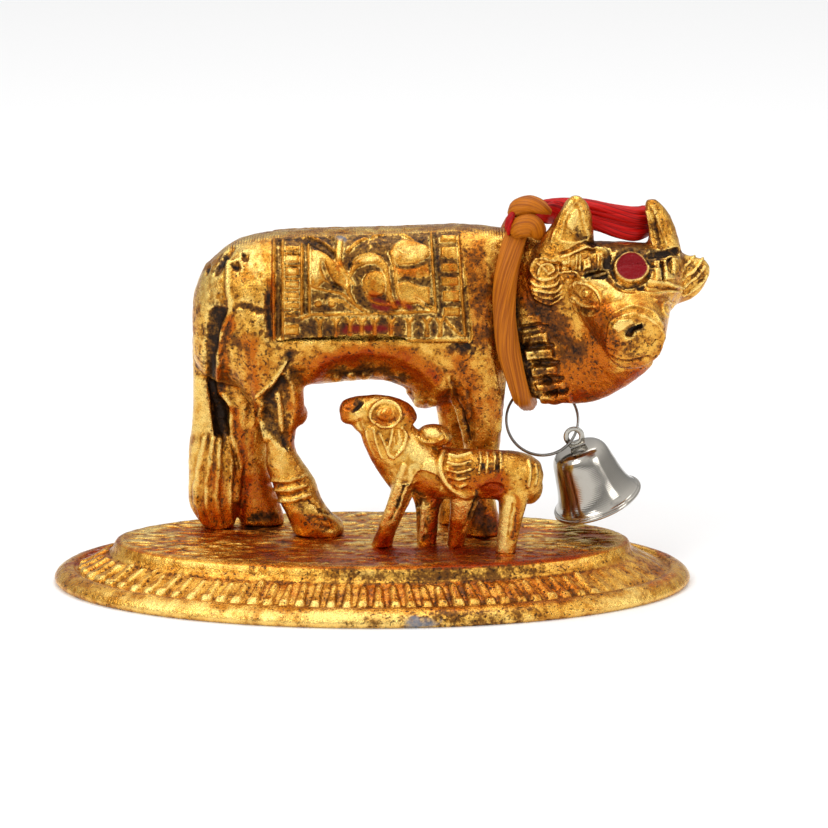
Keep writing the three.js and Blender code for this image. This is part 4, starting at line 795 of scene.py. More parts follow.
COW_WASH_AND_SHADE = [[2.4, 0.92, -30.9, 20.2, -31.5, 12.7, -31.7, 5.5], [1.9, 0.88, -30.1, 3.2, -30.1, -3.2],
    [3, 0.48, 20.6, 32.5, 22.2, 15.6], [4.5, 0.22, 17.4, 8.7, 21.4, 0.8],
    [3, 0.25, -26.1, 12.7, -24.1, 3.8], [1.6, 0.6, -26.1, 21.4, -21.8, 20.6],
    [1.5, 0.8, -20.6, 24.2, -20.2, 15], [1.8, 0.9, -17.2, 7.1, -20.2, 3.6, -20.6, -2, -17.4, -5.9],
    [1.2, 0.45, -16.6, 2.8, -16.2, -4.4], [1.2, 0.5, -21.8, 16.6, -19, 13.9],
    [2.4, 0.3, -26.9, 22.6, -22.5, 17.4], [1.5, 0.5, -8.3, -22.6, -14.2, -18],
    # The first row of the next line, on the near fore hoof behind the calf, is painted shade.
    [2, 0.9, 20.6, -19.4, 23.8, -23.4], [1, 0.8, -16.2, 12.3, -17.8, 9.1],
    [3.4, 0.78, 34.1, 21, 37.2, 15.4, 40, 12.3], [1.2, 1.2, 28.5, 22.6, 29.3, 13.7, 31.1, 5.7, 32.9, 1.6],
    [2.4, 0.75, 31.7, 17, 33.7, 10.1, 36.1, 4.4], [4, 0.22, 45.2, 16.6, 42.2, 10.7, 40.2, 5.7],
    [2, 0.35, 47.5, 16.6, 48.3, 12.3, 53.1, 10.7], [2.6, 0.28, 50.1, 13.7, 55.1, 13.7],
    [2, 0.35, 63, 30.1, 64.6, 26.5], [1.4, 0.8, 43.6, 33.9, 47.5, 33.3, 53.5, 32.7],
    [1, 1.4, 42.6, 27.3, 45.8, 27.5], [0.8, 1.3, 46.6, 31.5, 46.7, 29.1],
    [1, 1.3, 54.9, 31.3, 57.8, 32.1, 60.4, 32.5], [0.45, 1.5, 57.4, 29.9, 57.6, 26.7],
    [0.45, 1.5, 58.9, 30.5, 59.2, 27.9], [1, 0.9, -8.3, 7.9, -1.4, 9.1, 6.4, 7.1],
    [1.2, 1, 16.7, 13.3, 19.2, 12.9], [0.8, 1.5, 50.7, 15.8, 53.3, 17], [1.5, 0.6, 18.6, 3.6, 19.4, -3.6],
    [1, 0.8, 41.2, 36.8, 42, 34.8], [0.8, 0.7, -12.6, -17.4, -8.7, -20.2],
    [0.8, 0.55, 41.2, 20.8, 44, 20.2], [0.7, 1.2, -29.1, 30.9, -30.7, 27.7],
    [0.5, 1, -32.4, 28.9, -32.8, 27.9], [0.6, 0.7, 55.5, 39.6, 56.4, 34.4],
    [1.2, 0.45, 47.5, 15.4, 48.3, 11.5], [0.7, 1.3, -25.1, 31.1], [0.7, 1.2, -26.9, 29.3],
    [1.2, 0.4, -27.5, 15.4, -26.9, 12.3], [0.9, 1.2, -23.7, -20.2, -19.2, -20.2]]
COW_WASH_AND_SHADE.append([0.5, 1.0, *ring(*PAINTED_MARK, 3.9, 3.6).ravel()])
COW_CLEAN = [[2.6, 0.6, -24.1, 31.5, -21, 30.9], [2, 0.9, 46, 24.4, 49.1, 23.2],
    [1.2, 0.9, 40, 40, 39.6, 36.8], [1.2, 1, 48.3, 17.8, 49.9, 18.2], [2.4, 0.6, -32.8, 25.5, -30.9, 23.4],
    [1.4, 0.7, 43.2, 25.9, 45.8, 25.7]]

def dress(mesh, drawing, grain, wobble):
    """Chasing and cast grain moved into a mesh along its normals. The chaser's hand wobbles
    by a fraction of a millimetre, so the drawing is read at slightly shifted places."""
    points, normals = points_of(mesh), normals_of(mesh)
    sheet = on_sheet(points)
    height = carve(sheet + wobble * drift(points, 1.7, 23, 91), drawing) * facing_viewer(normals)
    height = height + grain * (noise(points, 0.9) + 0.8 * noise(points + 50, 2.2))
    set_points(mesh, points + normals * height[:, None])
    return sheet

def stain_lacquer_and_shade(mesh, sheet, amber, wash, clean, low):
    """Amber where lacquer ran, and more amber towards the plate; amber on what faces down is
    painted shade. Wash where dark was left. Clean places have less of both."""
    points, normals = points_of(mesh), normals_of(mesh)
    spot = ragged(points, sheet)
    rubbed = stained(spot, clean)
    # Painted shade: amber on what faces down.
    underside_shade = np.clip(-normals[:, 2], 0, 1)
    foot = np.clip((low - points[:, 2]) / 5.0, 0, 1)
    mark(mesh, "amber", np.maximum(stained(spot, amber), 0.45 * underside_shade + 0.75 * foot) - rubbed)
    mark(mesh, "wash", stained(spot, wash) - 0.5 * rubbed)

points = points_of(cow_mesh)
levelled = neighbour_mean(cow_mesh, points, 2)
set_points(cow_mesh, np.where(on_head(points)[:, None], levelled, points))
sheet = dress(cow_mesh, HEAD_FIGURES + BODY_FIGURES, 0.075, 0.22)
stain_lacquer_and_shade(cow_mesh, sheet, COW_AMBER_AND_SHADE, COW_WASH_AND_SHADE, COW_CLEAN, 14.0)
# The finish darkens hollows by this mark, partly as wash and partly as painted shade.
mark(cow_mesh, "hollow", hollow_of(cow_mesh, 8, 0.16))
from_middle = np.linalg.norm((sheet - np.array(PAINTED_MARK)) / [3.05, 2.75], axis=1)
mark(cow_mesh, "paint", np.clip((1 - from_middle) / 0.06, 0, 1) * (points[:, 1] < 8))
near_spine = np.exp(-((points[:, 1] - COW_Y) / 3.2) ** 4)
mark(cow_mesh, "hatch", near_spine * (points[:, 2] > 66.5) * (points[:, 0] < 27))
placed("cow_casting", cow_mesh, "cow")
print("cow:", sum(len(p.vertices) - 2 for p in cow_mesh.polygons), "triangles")

# %% [markdown]
# The saddle cloth is the richest chasing, so it gets a patch of its own: a grid that follows
# the trunk's section over the near flank, and a plainer mirrored one on the far side. Its
# edges sink under the trunk's skin, so that it reads as one casting.

# %% The saddle cloth's drawing
def box(left, right, low, high):
    """A rectangle's corners."""
    return [left, low, right, low, right, high, left, high]

def v_bar(x):
    """One bar of the low border: straight below, and spread like a V at its top."""
    half = [(0.5, 15.4), (0.4, 18.0), (1.15, 19.0), (0.7, 19.3)]
    return [(x - 0.5, 15.4), *[(x + a, b) for a, b in half], (x, 18.7), *[(x - a, b) for a, b in half[:0:-1]]]

SADDLE_OUTLINE = [-19.8, 46.3, 17.2, 46.3, 17.6, 35.2, 18.6, 28.5, 19.4, 21.6, 20.2, 15, 19.6, 14.1, 0,
     13.9, -18.8, 13.7, -19.8, 14.5, -20, 22.6]
SADDLE_TABLE = {
    "ridge": [[0.36, 0.85, -19.4, 34.4, -19.5, 24.5, -19.4, 14.5], [0.36, 0.85, -17.6, 33.9, -17.6, 15],
        [0.36, 0.85, -13.9, 33.3, -13.9, 19.8], [0.36, 0.85, -12.5, 33.1, -12.3, 20],
        [0.36, 0.85, 11.7, 35.2, 12.1, 28.5, 12.7, 20.2], [0.36, 0.85, 17.1, 34.8, 17.6, 26.5, 18.4, 15.6],
        [0.36, 0.85, 18.1, 36, 19.2, 25.5, 20, 16.6, 19.2, 14.3],
        [0.36, 0.85, -18.4, 14.7, 0, 14.7, 18.8, 14.8],
        [0.36, 0.85, -12.1, 19.7, -6.3, 19.8, 3.2, 20, 12.7, 20.4], [0.36, 0.85, -14, 19, -12.1, 19.7],
        [0.35, 0.6, 14.1, 19.4, 15.7, 17.4, 18, 15.6],
        [0.32, 0.7, -1.8, 24.9, -0.6, 22.8, 1.2, 21.9, 3.6, 21.6],
        [0.35, 0.7, 0, 34.6, 2.8, 35.6, 6, 35.2, 8.3, 33.9, 9.7, 32.5, 11.5, 32.1],
        [0.3, 0.4, 8.3, 22.6, 10.3, 21.4, 11.7, 20.6],
        [0.4, 0.55, 3.9, 30.9, 4.6, 28.5, 4.8, 25.7, 5.4, 23.2, 6.6, 21],
        [0.35, 0.5, -13.6, 35.4, -11.7, 34.7, -9.5, 33.7, -7.5, 32.1],
        [0.35, 0.7, -12.1, 25.3, -9.3, 24.4, -6.1, 23.8, -3.9, 22, -1.2, 20.2],
        [0.5, 0.45, -8.3, 22.6, -5.9, 22.2, -3.9, 20.8, -2.7, 20.2]],
    "groove": [[0.55, 0.3, -18.5, 33.9, -18.5, 15.8], [0.55, 0.3, -13.2, 33.1, -13.1, 20.2],
        [0.55, 0.3, 12.3, 34.8, 12.7, 30.1, 13.3, 21], [0.55, 0.3, 17.6, 34.8, 18.4, 25.5, 19.2, 16.2],
        [0.42, 0.6, -4.1, 29.3, -2.4, 30.5, -0.6, 31], [0.35, 0.4, 5.2, 32.1, 6.2, 31.5, 7.5, 31.3],
        [0.4, 0.6, 8.7, 23.2, 10.5, 22, 12.1, 21],
        [0.75, 0.5, -13.6, 34.8, -11.9, 33.9, -9.7, 32.7, -7.7, 31.1],
        [0.7, 0.4, -8.7, 35, -7.9, 34.1, -7.5, 33.1]],
    "plate": [[0.5, 0.9, -4.3, 28.1, -3.9, 30.1, -2.4, 31.3, -0.4, 31.7, 1.8, 31.1, 3.2, 29.1, 3.6, 26.7, 4,
         23.4, 5.4, 20.8, 4, 20.8, 2.8, 23.4, 2.6, 26.5, 2.2, 28.5, 0.8, 29.4, -1.2, 29.4, -2.9, 28.7, -4.1,
         26.9, -4.2, 24.2, -3.1, 22, -1.6, 21, -2.4, 20.6, -4.3, 22, -5.1, 24.5, -4.9, 26.9],
        [0.4, 0.75, -5.3, 31.9, -3.7, 33.7, -1.6, 34.7, -0.4, 34.4, -2, 33.8, -3.5, 32.7, -4.7, 31.3],
        [0.8, 1, 3.2, 31.7, 4.2, 33.3, 6, 34.4, 8.7, 33.9, 11.3, 32.9, 11.5, 31.1, 10.3, 30.3, 8.7, 29.5,
         5.4, 29.3, 4, 30.1],
        [0.8, 0.55, 4.8, 28.9, 6.8, 28.5, 9.1, 28.9, 11.1, 29.7, 11.5, 27.3, 9.5, 26.7, 7.2, 27.1, 5, 26.9],
        [1, 0.75, 5.2, 25.9, 7.2, 26.3, 9.5, 25.3, 11.5, 25.1, 11.5, 21.4, 9.1, 21.8, 7.2, 21.6, 5.6, 21.8,
         5, 23.8], [0.7, 0.95, -12.2, 32.3, -10.3, 32.1, -8.5, 31.1, -6.7, 29.3, -5.1, 26.9, -4.7, 24.2,
         -6.1, 25.3, -7.7, 25.5, -9.5, 26.1, -10.9, 24.7, -12.1, 25.3, -12.3, 28.9],
        [0.6, 0.9, -7.1, 34.6, -5.5, 34.4, -5.7, 32.1, -5.9, 30.1, -4.7, 27.7, -3.1, 25.3, -4.3, 25.7, -5.9,
         27.7, -7.1, 29.7, -7.5, 32.1], [0.4, 0.3, -5.3, 24.4, -4.3, 24.2, -3.3, 22.2, -3.9, 22.2]],
    "well": [[0.4, 0.9, -10.2, 30.1, -9.3, 30.1, -8.7, 28.5, -7.7, 26.7, -6.3, 24.9, -7.9, 25.5, -9.3, 26.7,
         -10.1, 28.5]],
}
LEFT_BOXES = [(0.4, 32.1, 33.1), (0.9, 29.7, 31.1), (1.0, 27.2, 28.7), (0.8, 24.9, 26.2),
              (0.55, 23.0, 24.0), (0.6, 21.0, 22.0), (0.45, 19.2, 20.2), (0.7, 15.8, 17.8)]
RIGHT_BOXES = [(13.5, 33.7, 35.0), (13.6, 30.7, 32.8), (13.7, 28.1, 29.6), (13.8, 25.3, 27.0),
               (14.0, 22.2, 24.4), (14.2, 19.4, 21.1)]
LEFT_BARS = (31.6, 29.2, 26.7, 24.5, 22.5, 20.6, 18.6)
V_BARS = (-10.3, -7.1, -4.3, -2.0, 0.6, 3.8, 7.4, 10.9, 13.5)
SADDLE_FIGURES = figures(SADDLE_TABLE) + [
    *[figure("plate", box(-17.3, -14.4, low, high), 0.4, rise) for rise, low, high in LEFT_BOXES],
    *[figure("ridge", [-17.3, level, -14.4, level], 0.25, 0.5) for level in LEFT_BARS],
    *[figure("plate", v_bar(x), 0.25, 0.8) for x in V_BARS],
    *[figure("plate", box(left, left + 3.3, low, high), 0.4, 0.8) for left, low, high in RIGHT_BOXES],
    figure("plate", ring(0.6, 25.7, 2.5, 2.6), 1.4, 1.0),
    figure("plate", ring(-10.6, 21.8, 0.75, 0.7), 0.4, 0.9),
    figure("plate", ring(-7.9, 21.8, 0.8, 0.75), 0.4, 0.9),
]
SADDLE_AMBER = [[1.4, 0.9, 5.6, 28.1, 10.7, 28.1], [1.2, 1.4, 0, 23.4, 3.6, 21.4, 7.5, 21.2],
    [1.6, 1, -6.3, 16.6, 0, 17, 4.8, 17], [0.8, 0.7, -5.9, 30.1, -6.3, 28.1], [1.8, 0.7, 0.4, 25.7],
    [0.8, 1, -19.8, 30.1, -19.6, 15.6], [1.2, 0.75, 15.5, 29.3, 16.5, 22.6],
    [1.6, 0.6, 5.6, 24.5, 9.5, 23.4]]
SADDLE_CLEAN = [[1.6, 0.7, -11.1, 30.1, -11.5, 27.3], [0.8, 0.8, -6.7, 32.9, -6.3, 31.3],
    [1.6, 0.35, 4.8, 31.7, 9.5, 32.1], [0.8, 0.6, -2, 30.5, 1.6, 30.1], [1.4, 0.45, -16.8, 30.5, -15, 25.3]]
SADDLE_RED = [[0.9, 1.0, -5.3, 17, 2.4, 17], [0.9, 0.9, 0.8, 22, 2.8, 21], [0.8, 0.9, 4.8, 22.2, 7.4, 21]]
SADDLE_BARE = [[0.7, 1.0, -6.3, 34.8, -6.1, 34.3]]
print("saddle:", len(SADDLE_FIGURES), "figures")

# %% [markdown]
# The cloth's own grid has x along the back and the angle from the spine down. The trunk's
# skin is let in under it, or else it would fill the hollows between the raised scrolls.

# %% The saddle cloth
NEAR_START, FAR_START = 14, 26

def trunk_at(x):
    """The middle height, the half height and the half width of the trunk's section at x."""
    table = flow(TRUNK_ROWS, 400)
    return [np.interp(x, table[:, 0], table[:, k]) for k in (2, 3, 4)]

def trunk_section(x, turn, grow):
    """Points of the trunk's skin at x and an angle from the top, near side for positive turns."""
    middle, half_high, half_wide = trunk_at(x)
    z = middle + (half_high + grow) * signed_power(np.cos(turn), 2 / TRUNK_ROUNDNESS)
    y = COW_Y - (half_wide + grow) * signed_power(np.sin(turn), 2 / TRUNK_ROUNDNESS)
    return np.stack([x, y, z], -1)

def cloth_depth(sheet):
    """How far sheet points lie inside the cloth's outline; outside it is negative."""
    return np.where(inside(sheet, SADDLE_OUTLINE), 1, -1) * line_distance(sheet, SADDLE_OUTLINE, True)

def saddle_patch(name, x_count, turn_count, near):
    """A grid over one flank, raised by the drawing. Its border is drawn in under the trunk's
    skin, and the relief begins a little way down from the spine."""
    x = np.linspace(-21.0, 21.0, x_count)
    turn = np.radians(np.linspace(5, 99, turn_count))
    gx, gt = (g.ravel() for g in np.meshgrid(x, turn, indexing="ij"))
    ground = trunk_section(gx, gt, 0.0)
    out = unit(trunk_section(gx, gt, 1.0) - ground)
    sheet = on_sheet(ground)
    depth = cloth_depth(sheet)
    cloth = np.clip(depth / 0.35, -1, 1)
    top = np.clip((gt - np.radians(NEAR_START if near else FAR_START)) / np.radians(6), 0, 1)
    relief = carve(sheet, SADDLE_FIGURES) * top
    rise = np.where(cloth > 0, 0.1 + 0.1 * cloth + relief * 0.9, 0.1 + cloth * 0.9)
    rise = rise - 1.1 * np.clip((np.radians(16) - gt) / np.radians(9), 0, 1)
    rise = rise + 0.05 * noise(ground, 0.7) + 0.05 * noise(ground, 1.8)
    points = ground + out * rise[:, None]
    faces = grid_faces(x_count, turn_count, wrap_columns=False)
    if near:
        faces = faces[:, ::-1]
    else:
        points[:, 1] = 2 * COW_Y - points[:, 1]
    mesh = new_mesh(name, points, faces)
    print(name, len(faces), "quads")
    within = np.clip(depth / 0.8, 0, 1) * top
    # Low places of the relief take wash, partly real and partly painted shade; high places take less, partly
    # rubbed and partly painted highlight.
    low = np.clip((0.30 - relief) / 0.3, 0, 1.2) * within
    high = np.clip((relief - 0.45) / 0.25, 0, 1)
    spot = ragged(ground, sheet) * 0.6 + sheet * 0.4
    rubbed = stained(spot, SADDLE_CLEAN)
    red = stained(spot, SADDLE_RED) * 1.3 * np.clip(low, 0, 1)
    mark(mesh, "hollow", hollow_of(mesh, 6, 0.14) * within)
    mark(mesh, "amber", stained(spot, SADDLE_AMBER) - rubbed - 0.2 * high)
    mark(mesh, "wash", 0.80 * low - 0.4 * rubbed * (relief > 0.4) - 0.25 * high)
    mark(mesh, "paint", np.clip(red - 0.2, 0, 0.8))
    mark(mesh, "bare", near * np.clip(stained(spot, SADDLE_BARE) - 0.2, 0, 0.75))
    mark(mesh, "hatch", 1 - top)
    return mesh

def let_in(mesh, depth):
    """The trunk's own skin moved in under the cloth of both flanks, so that it fills none of
    the cloth's hollows. The angle from the spine is the section's formula turned round."""
    points, normals = points_of(mesh), normals_of(mesh)
    flank = points.copy()
    flank[:, 1] = COW_Y - np.abs(points[:, 1] - COW_Y)
    middle, half_high, _ = trunk_at(points[:, 0])
    upward = np.clip((points[:, 2] - middle) / half_high, -1, 1)
    turn = np.degrees(np.arccos(signed_power(upward, TRUNK_ROUNDNESS / 2)))
    start = np.where(points[:, 1] < COW_Y, NEAR_START, FAR_START) + 3
    share = np.clip((cloth_depth(on_sheet(flank)) - 0.4) / 0.6, 0, 1) * np.clip((turn - start) / 6, 0, 1)
    share = share * (np.abs(points[:, 0]) < 21)
    set_points(mesh, points - normals * (depth * share)[:, None])

let_in(cow_mesh, 1.2)
near_saddle = placed("saddle_near", saddle_patch("saddle_near", 200, 150, True))
far_saddle = placed("saddle_far", saddle_patch("saddle_far", 130, 90, False))

# %% [markdown]
# The calf is made as its mother is, on a finer grid because it is smaller. Its eye ring, its
# halter, the folded cloth on its flank and the tuft behind it are chased the same way.

# %% The calf
CALF_Y = -6.6

def middle_rows(rows):
    """Rows of a form that lies on the calf's middle plane: x, z and two radii."""
    return [[x, CALF_Y, z, a, b] for x, z, a, b in rows]

CALF_TRUNK = [[7.5, 24.4, 3.4, 2.6], [9.5, 24.4, 5, 3.8], [13, 24.2, 5.2, 4.4], [18, 24, 4.9, 4.6],
    [24, 23.8, 4.9, 4.6], [29, 23.2, 5, 4.2], [32, 22, 4, 3], [33.4, 21.6, 2.2, 1.8]]
CALF_NECK = [[9.6, 23.6, 6.4, 4], [5.8, 28, 5.8, 3.6], [3.2, 31.8, 5.2, 3.4], [1.4, 35, 4.4, 3.4]]
CALF_HEAD = [[7.6, 33.6, 2.2, 2], [5.8, 34.9, 3.6, 3.2], [2.4, 36.2, 3.7, 3.4], [-1.2, 36.8, 3.1, 2.8],
    [-3.6, 36.7, 2.8, 2.5], [-5.4, 36.4, 2.3, 2.1], [-6.2, 36.3, 1.3, 1.2]]
CALF_LEGS = [
    [[6.8, -8.8, 23, 2.8, 2], [5.2, -7.8, 18, 2.1, 1.8], [2.9, -6, 12, 1.9, 1.7],
     [1.9, -5.2, FOOT, 2.2, 1.8]],
    [[11.2, -5, 23, 4.6, 2], [11.4, -4.6, 19.5, 3.8, 2], [11, -4, 16, 2.4, 1.8],
     [10.9, -3.4, FOOT, 2, 1.6]],
    [[18.6, -7.8, 22, 3.4, 2.4], [18.2, -7.2, 18, 2.7, 2], [17.2, -5.8, 13, 2, 1.7],
     [16.6, -5, FOOT, 1.8, 1.7]],
    [[28, -8.2, 23, 3.8, 2.6], [27.8, -8.8, 18.6, 2.8, 2.2], [27, -9.2, 13, 2.2, 1.9],
     [26.4, -9.4, FOOT, 2, 1.9]],
]
CALF_TABLE = {
    "ridge": [[0.42, 0.6, 4, -2.6, 3.7, -4.8, 3.2, -7.5, 4.2, -8.7],
        [0.36, 0.5, 1.6, -3.8, 2.8, -6.5, 3.6, -8.5], [0.32, 0.35, 0.4, -3.2, 1, -6.1, 2, -8.7],
        [0.32, 0.35, -1.2, -3.4, -0.6, -5.9, 0.8, -8.7],
        [0.4, 0.45, 6, -2.8, 6.8, -4.4, 6.2, -6.5, 4.8, -8.3], [0.3, 0.4, 5.2, -3.6, 5.6, -5.1],
        [0.35, 0.4, 8.9, -4.4, 10.5, -5.3, 12.7, -5.5, 14.1, -4.8],
        [0.8, 0.7, 14.1, -7.5, 13.5, -10.3, 14.3, -13.1, 16.3, -15.2, 18.4, -16.2, 20.4, -15.8],
        [0.4, 0.5, 30.9, -9.1, 31.3, -11.5, 30.9, -14.3],
        [0.35, 0.35, 32.3, -9.9, 32.7, -11.9, 32.3, -13.9], [0.5, 0.6, 10.1, -17.6, 10.1, -21, 9.7, -24.9],
        [0.8, 0.35, 6.4, -10.3, 4, -16.6, 1.8, -21.8]],
    "groove": [[0.35, 0.3, -2.4, -1.2, -1.6, -4.4, 0, -8.1], [0.4, 0.35, 4.8, -3.2, 4.8, -5.9],
        [0.5, 0.5, -3.7, 0.6, -2.9, 1.2, -2, 2.2], [0.35, 0.3, -5.1, 1, -4.3, 1],
        [0.4, 0.5, 14.9, -7.5, 14.5, -10.3, 15.3, -13.1, 17.2, -14.8, 19.4, -15],
        [0.5, 0.3, 23.4, -8.2, 24.8, -9.8, 23.8, -11.4], [0.4, 0.35, 6.4, -14.3, 5.2, -17.8, 3.6, -21],
        [0.4, 0.4, 20.6, -16.2, 19.6, -19.4, 18.2, -23], [0.4, 0.35, 27.7, -18, 26.8, -24]],
    "plate": [[0.7, 0.6, 9.7, -3.2, 10.9, -2.6, 13.1, -2.8, 13.9, -4, 13.1, -4.8, 10.9, -4.6]],
    "well": [[0.8, 0.5, 8.1, -12.7, 9.7, -11.1, 13.1, -12.3, 13.5, -15, 11.5, -18, 8.7, -18.6, 6.8, -19.8,
         5.4, -21.4, 6.2, -17], [0.8, 0.4, 21, -14.7, 23.8, -13.5, 26.2, -14.3, 25.4, -15.8, 22.2, -16.6]],
}
CALF_FIGURES = figures(CALF_TABLE) + [
    figure("ridge", ring(2.7, 0.0, 2.9, 2.45), 0.5, 0.75),
    figure("plate", ring(2.8, 0.0, 1.9, 1.35), 0.9, 0.5),
    *[figure("groove", [x, 0.2, x + 0.4, 1.0], 0.2, 0.25) for x in (1.8, 2.7, 3.5)],
    *[figure("ridge", [17.2 - half, high + 0.15, 17.2, high - 0.35, 17.2 + half, high + 0.15], 0.4, 0.6)
      for half, high in ((2.4, -8.1), (2.5, -9.7), (2.4, -11.2), (2.0, -12.6), (1.4, -13.9))],
    *[figure("ridge", [x, -7.9, x + 0.25, -9.6, x, -11.6], 0.36, 0.6) for x in (21.3, 22.7, 24.1, 25.3)],
]
CALF_AMBER = [[2.2, 1.2, -5.9, 0.4, -4.3, 2.4],
    [1.2, 1.1, -3.7, 4.2, 0.4, 3.8, 5.2, 2.4, 8.9, -1.2, 12.1, -1],
    [1.6, 0.9, -4.7, -2, -2.4, -5.9, 1.2, -11.1], [1, 1, 14.5, -6.3, 25.4, -6.7],
    [2.4, 1.5, 0.8, -23, 2.8, -24.9], [1.6, 1.4, 12.7, -17, 12.3, -24.9], [2, 1.2, 15.9, -21, 17.1, -24.9],
    [2.2, 1.4, 21, -15, 25.4, -13.9, 21, -23, 23, -24.9], [2, 0.9, 8.7, -13.1, 11.5, -15],
    [1.2, 1.2, 28.9, -17, 27.5, -24.9], [0.9, 1.1, 15.3, -11.1, 16.3, -14.3, 19.4, -15.4],
    [0.8, 1, 10.7, -5.3, 14.3, -5.1], [0.7, 0.9, 7.5, -9.1, 6, -15], [1.6, 1.2, 3, -0.4]]
CALF_WASH = [[1, 1.1, -3.3, 0.8, -2.4, 2], [0.8, 1.1, 6.6, -13.9, 4.6, -19.8],
    [0.6, 0.7, 10.7, -18.2, 11.1, -24.9], [1, 0.5, 12.7, -18.2, 13.5, -24.2],
    [1.4, 0.7, 9.5, -17, 8.7, -19], [0.8, 1.15, 20.4, -16.4, 19.2, -20.2],
    [0.5, 0.8, 28.5, -19, 27.7, -25.9], [1, 0.9, 24.6, -8.7, 25, -11.1], [0.6, 0.8, 22, -9.1, 22.4, -10.7],
    [1.2, 0.7, 21.8, -18, 25, -18], [0.6, 0.4, 9.5, -3.6, 12.7, -6.7], [1.4, 0.7, 11.9, -18.6, 13.5, -18],
    [0.8, 1, 7, -21, 7.9, -19.8, 9.5, -20.2]]
CALF_CLEAN = [[1.6, 1.3, 7.9, -10.7, 4.8, -16.2, 2.4, -20.6], [0.8, 0.9, 0, 2.4, 2.8, 3, 5.2, 1.2],
    [1.2, 1, 10.5, -3.6, 13.3, -3.8], [1.5, 1.4, 17.4, -16.2, 17.1, -19.8],
    [1.5, 1.5, 27, -17.4, 26, -26.9], [0.8, 1.5, 10.1, -18.6, 9.9, -24.9],
    [2.2, 1, 6.2, -6.1, 9.5, -7.5, 11.5, -9.9], [0.8, 0.6, 21.4, -7.5, 25.4, -8.3]]

calf_forms = [
    loft(middle_rows(CALF_TRUNK), roundness=2.2),
    *[loft(middle_rows(rows)) for rows in (CALF_NECK, CALF_HEAD)],
    *[loft(leg, sides=24, facing=DOWN) for leg in CALF_LEGS],
    lump([-0.4, CALF_Y, 33.8], [4.2, 2.6, 2.4], [0, 30, 0]),
    lump([12.4, CALF_Y - 0.4, 31.9], [3.5, 3.2, 2.2], [0, 8, 0]),
    lump([30.9, CALF_Y, 21.4], [2.9, 2.5, 3.7]),
]
calf_mesh = fused("calf_casting", calf_forms, 0.26)
sheet = dress(calf_mesh, CALF_FIGURES, 0.05, 0.12)
stain_lacquer_and_shade(calf_mesh, sheet, CALF_AMBER, CALF_WASH, CALF_CLEAN, 12.5)
# The finish darkens hollows by this mark, partly as wash and partly as painted shade.
mark(calf_mesh, "hollow", hollow_of(calf_mesh, 10, 0.14))
placed("calf_casting", calf_mesh, "calf")
print("calf:", len(calf_mesh.polygons) * 2, "triangles")

# %% [markdown]
# The threads are hanks of fine silk. Each is a bundle: a tube whose section is rippled by
# its strands, which turn slowly along the path, with the finest fibres left to the finish.
# Two numbers per vertex run round the section and along the path, so that fibres follow it.

# %% Thread helpers
def hank(path, radii_a, radii_b, sides, rows, strands, twist, ripple, seed, closed=False, across=(0, 1, 0)):
    """A rippled tube: the section's radius grows by ripple where a strand lies, and the
    strands turn by twist turns along the path."""
    table = flow(np.column_stack([path, radii_a, radii_b]), rows, closed)
    centre = table[:, :3]
    step = np.roll(centre, -1, 0) - np.roll(centre, 1, 0) if closed else np.gradient(centre, axis=0)
    along = unit(step)
    up = unit(np.cross(along, np.asarray(across, float)))
    side = np.cross(up, along)
    turn = circle(sides)
    way = np.linspace(0, 1, rows, endpoint=not closed)[:, None]
    phase = turn[None] + 2 * np.pi * twist * way
    random = np.random.default_rng(seed)
    wander = 0.35 * np.sin(2 * np.pi * (way * 3 + random.random()))
    coarse = np.abs(np.sin(phase * strands / 2 + wander)) ** 1.5 - 0.5
    fine = 0.35 * np.sin(phase * strands * 3 + 4 * wander + 2 * np.pi * random.random())
    swell = 1 + ripple * (coarse + fine)
    rings = (centre[:, None] + up[:, None] * (table[:, 3:4] * np.cos(turn) * swell)[..., None]
             + side[:, None] * (table[:, 4:5] * np.sin(turn) * swell)[..., None])
    return rings, phase / (2 * np.pi), way, closed

def hank_mesh(name, hanks):
    """Hanks as one mesh, marked with turns round and millimetres along."""
    bodies, rounds, lengths = [], [], []
    for rings, phase, way, closed in hanks:
        rows, sides, _ = rings.shape
        length = np.linalg.norm(np.diff(rings.mean(1), axis=0), axis=1).sum()
        ends = np.arange(rows) if closed else np.r_[0, :rows, rows - 1]
        points = rings.reshape(-1, 3)
        if closed:
            bodies.append((points, outward(points, grid_faces(rows, sides, wrap_rows=True))))
        else:
            bodies.append(capped(rings))
        rounds.append(phase[ends].ravel())
        lengths.append(np.repeat(way * length, sides, 1)[ends].ravel())
    mesh = new_mesh(name, *together(bodies))
    mark(mesh, "round", np.concatenate(rounds))
    mark(mesh, "along", np.concatenate(lengths))
    print(name, len(mesh.polygons), "quads")
    return mesh

# %% [markdown]
# The neck hank follows the same route as its solid: close round the neck, then hanging clear
# under the throat, where the ring pinches it. Its knot at the nape is two tight turns.

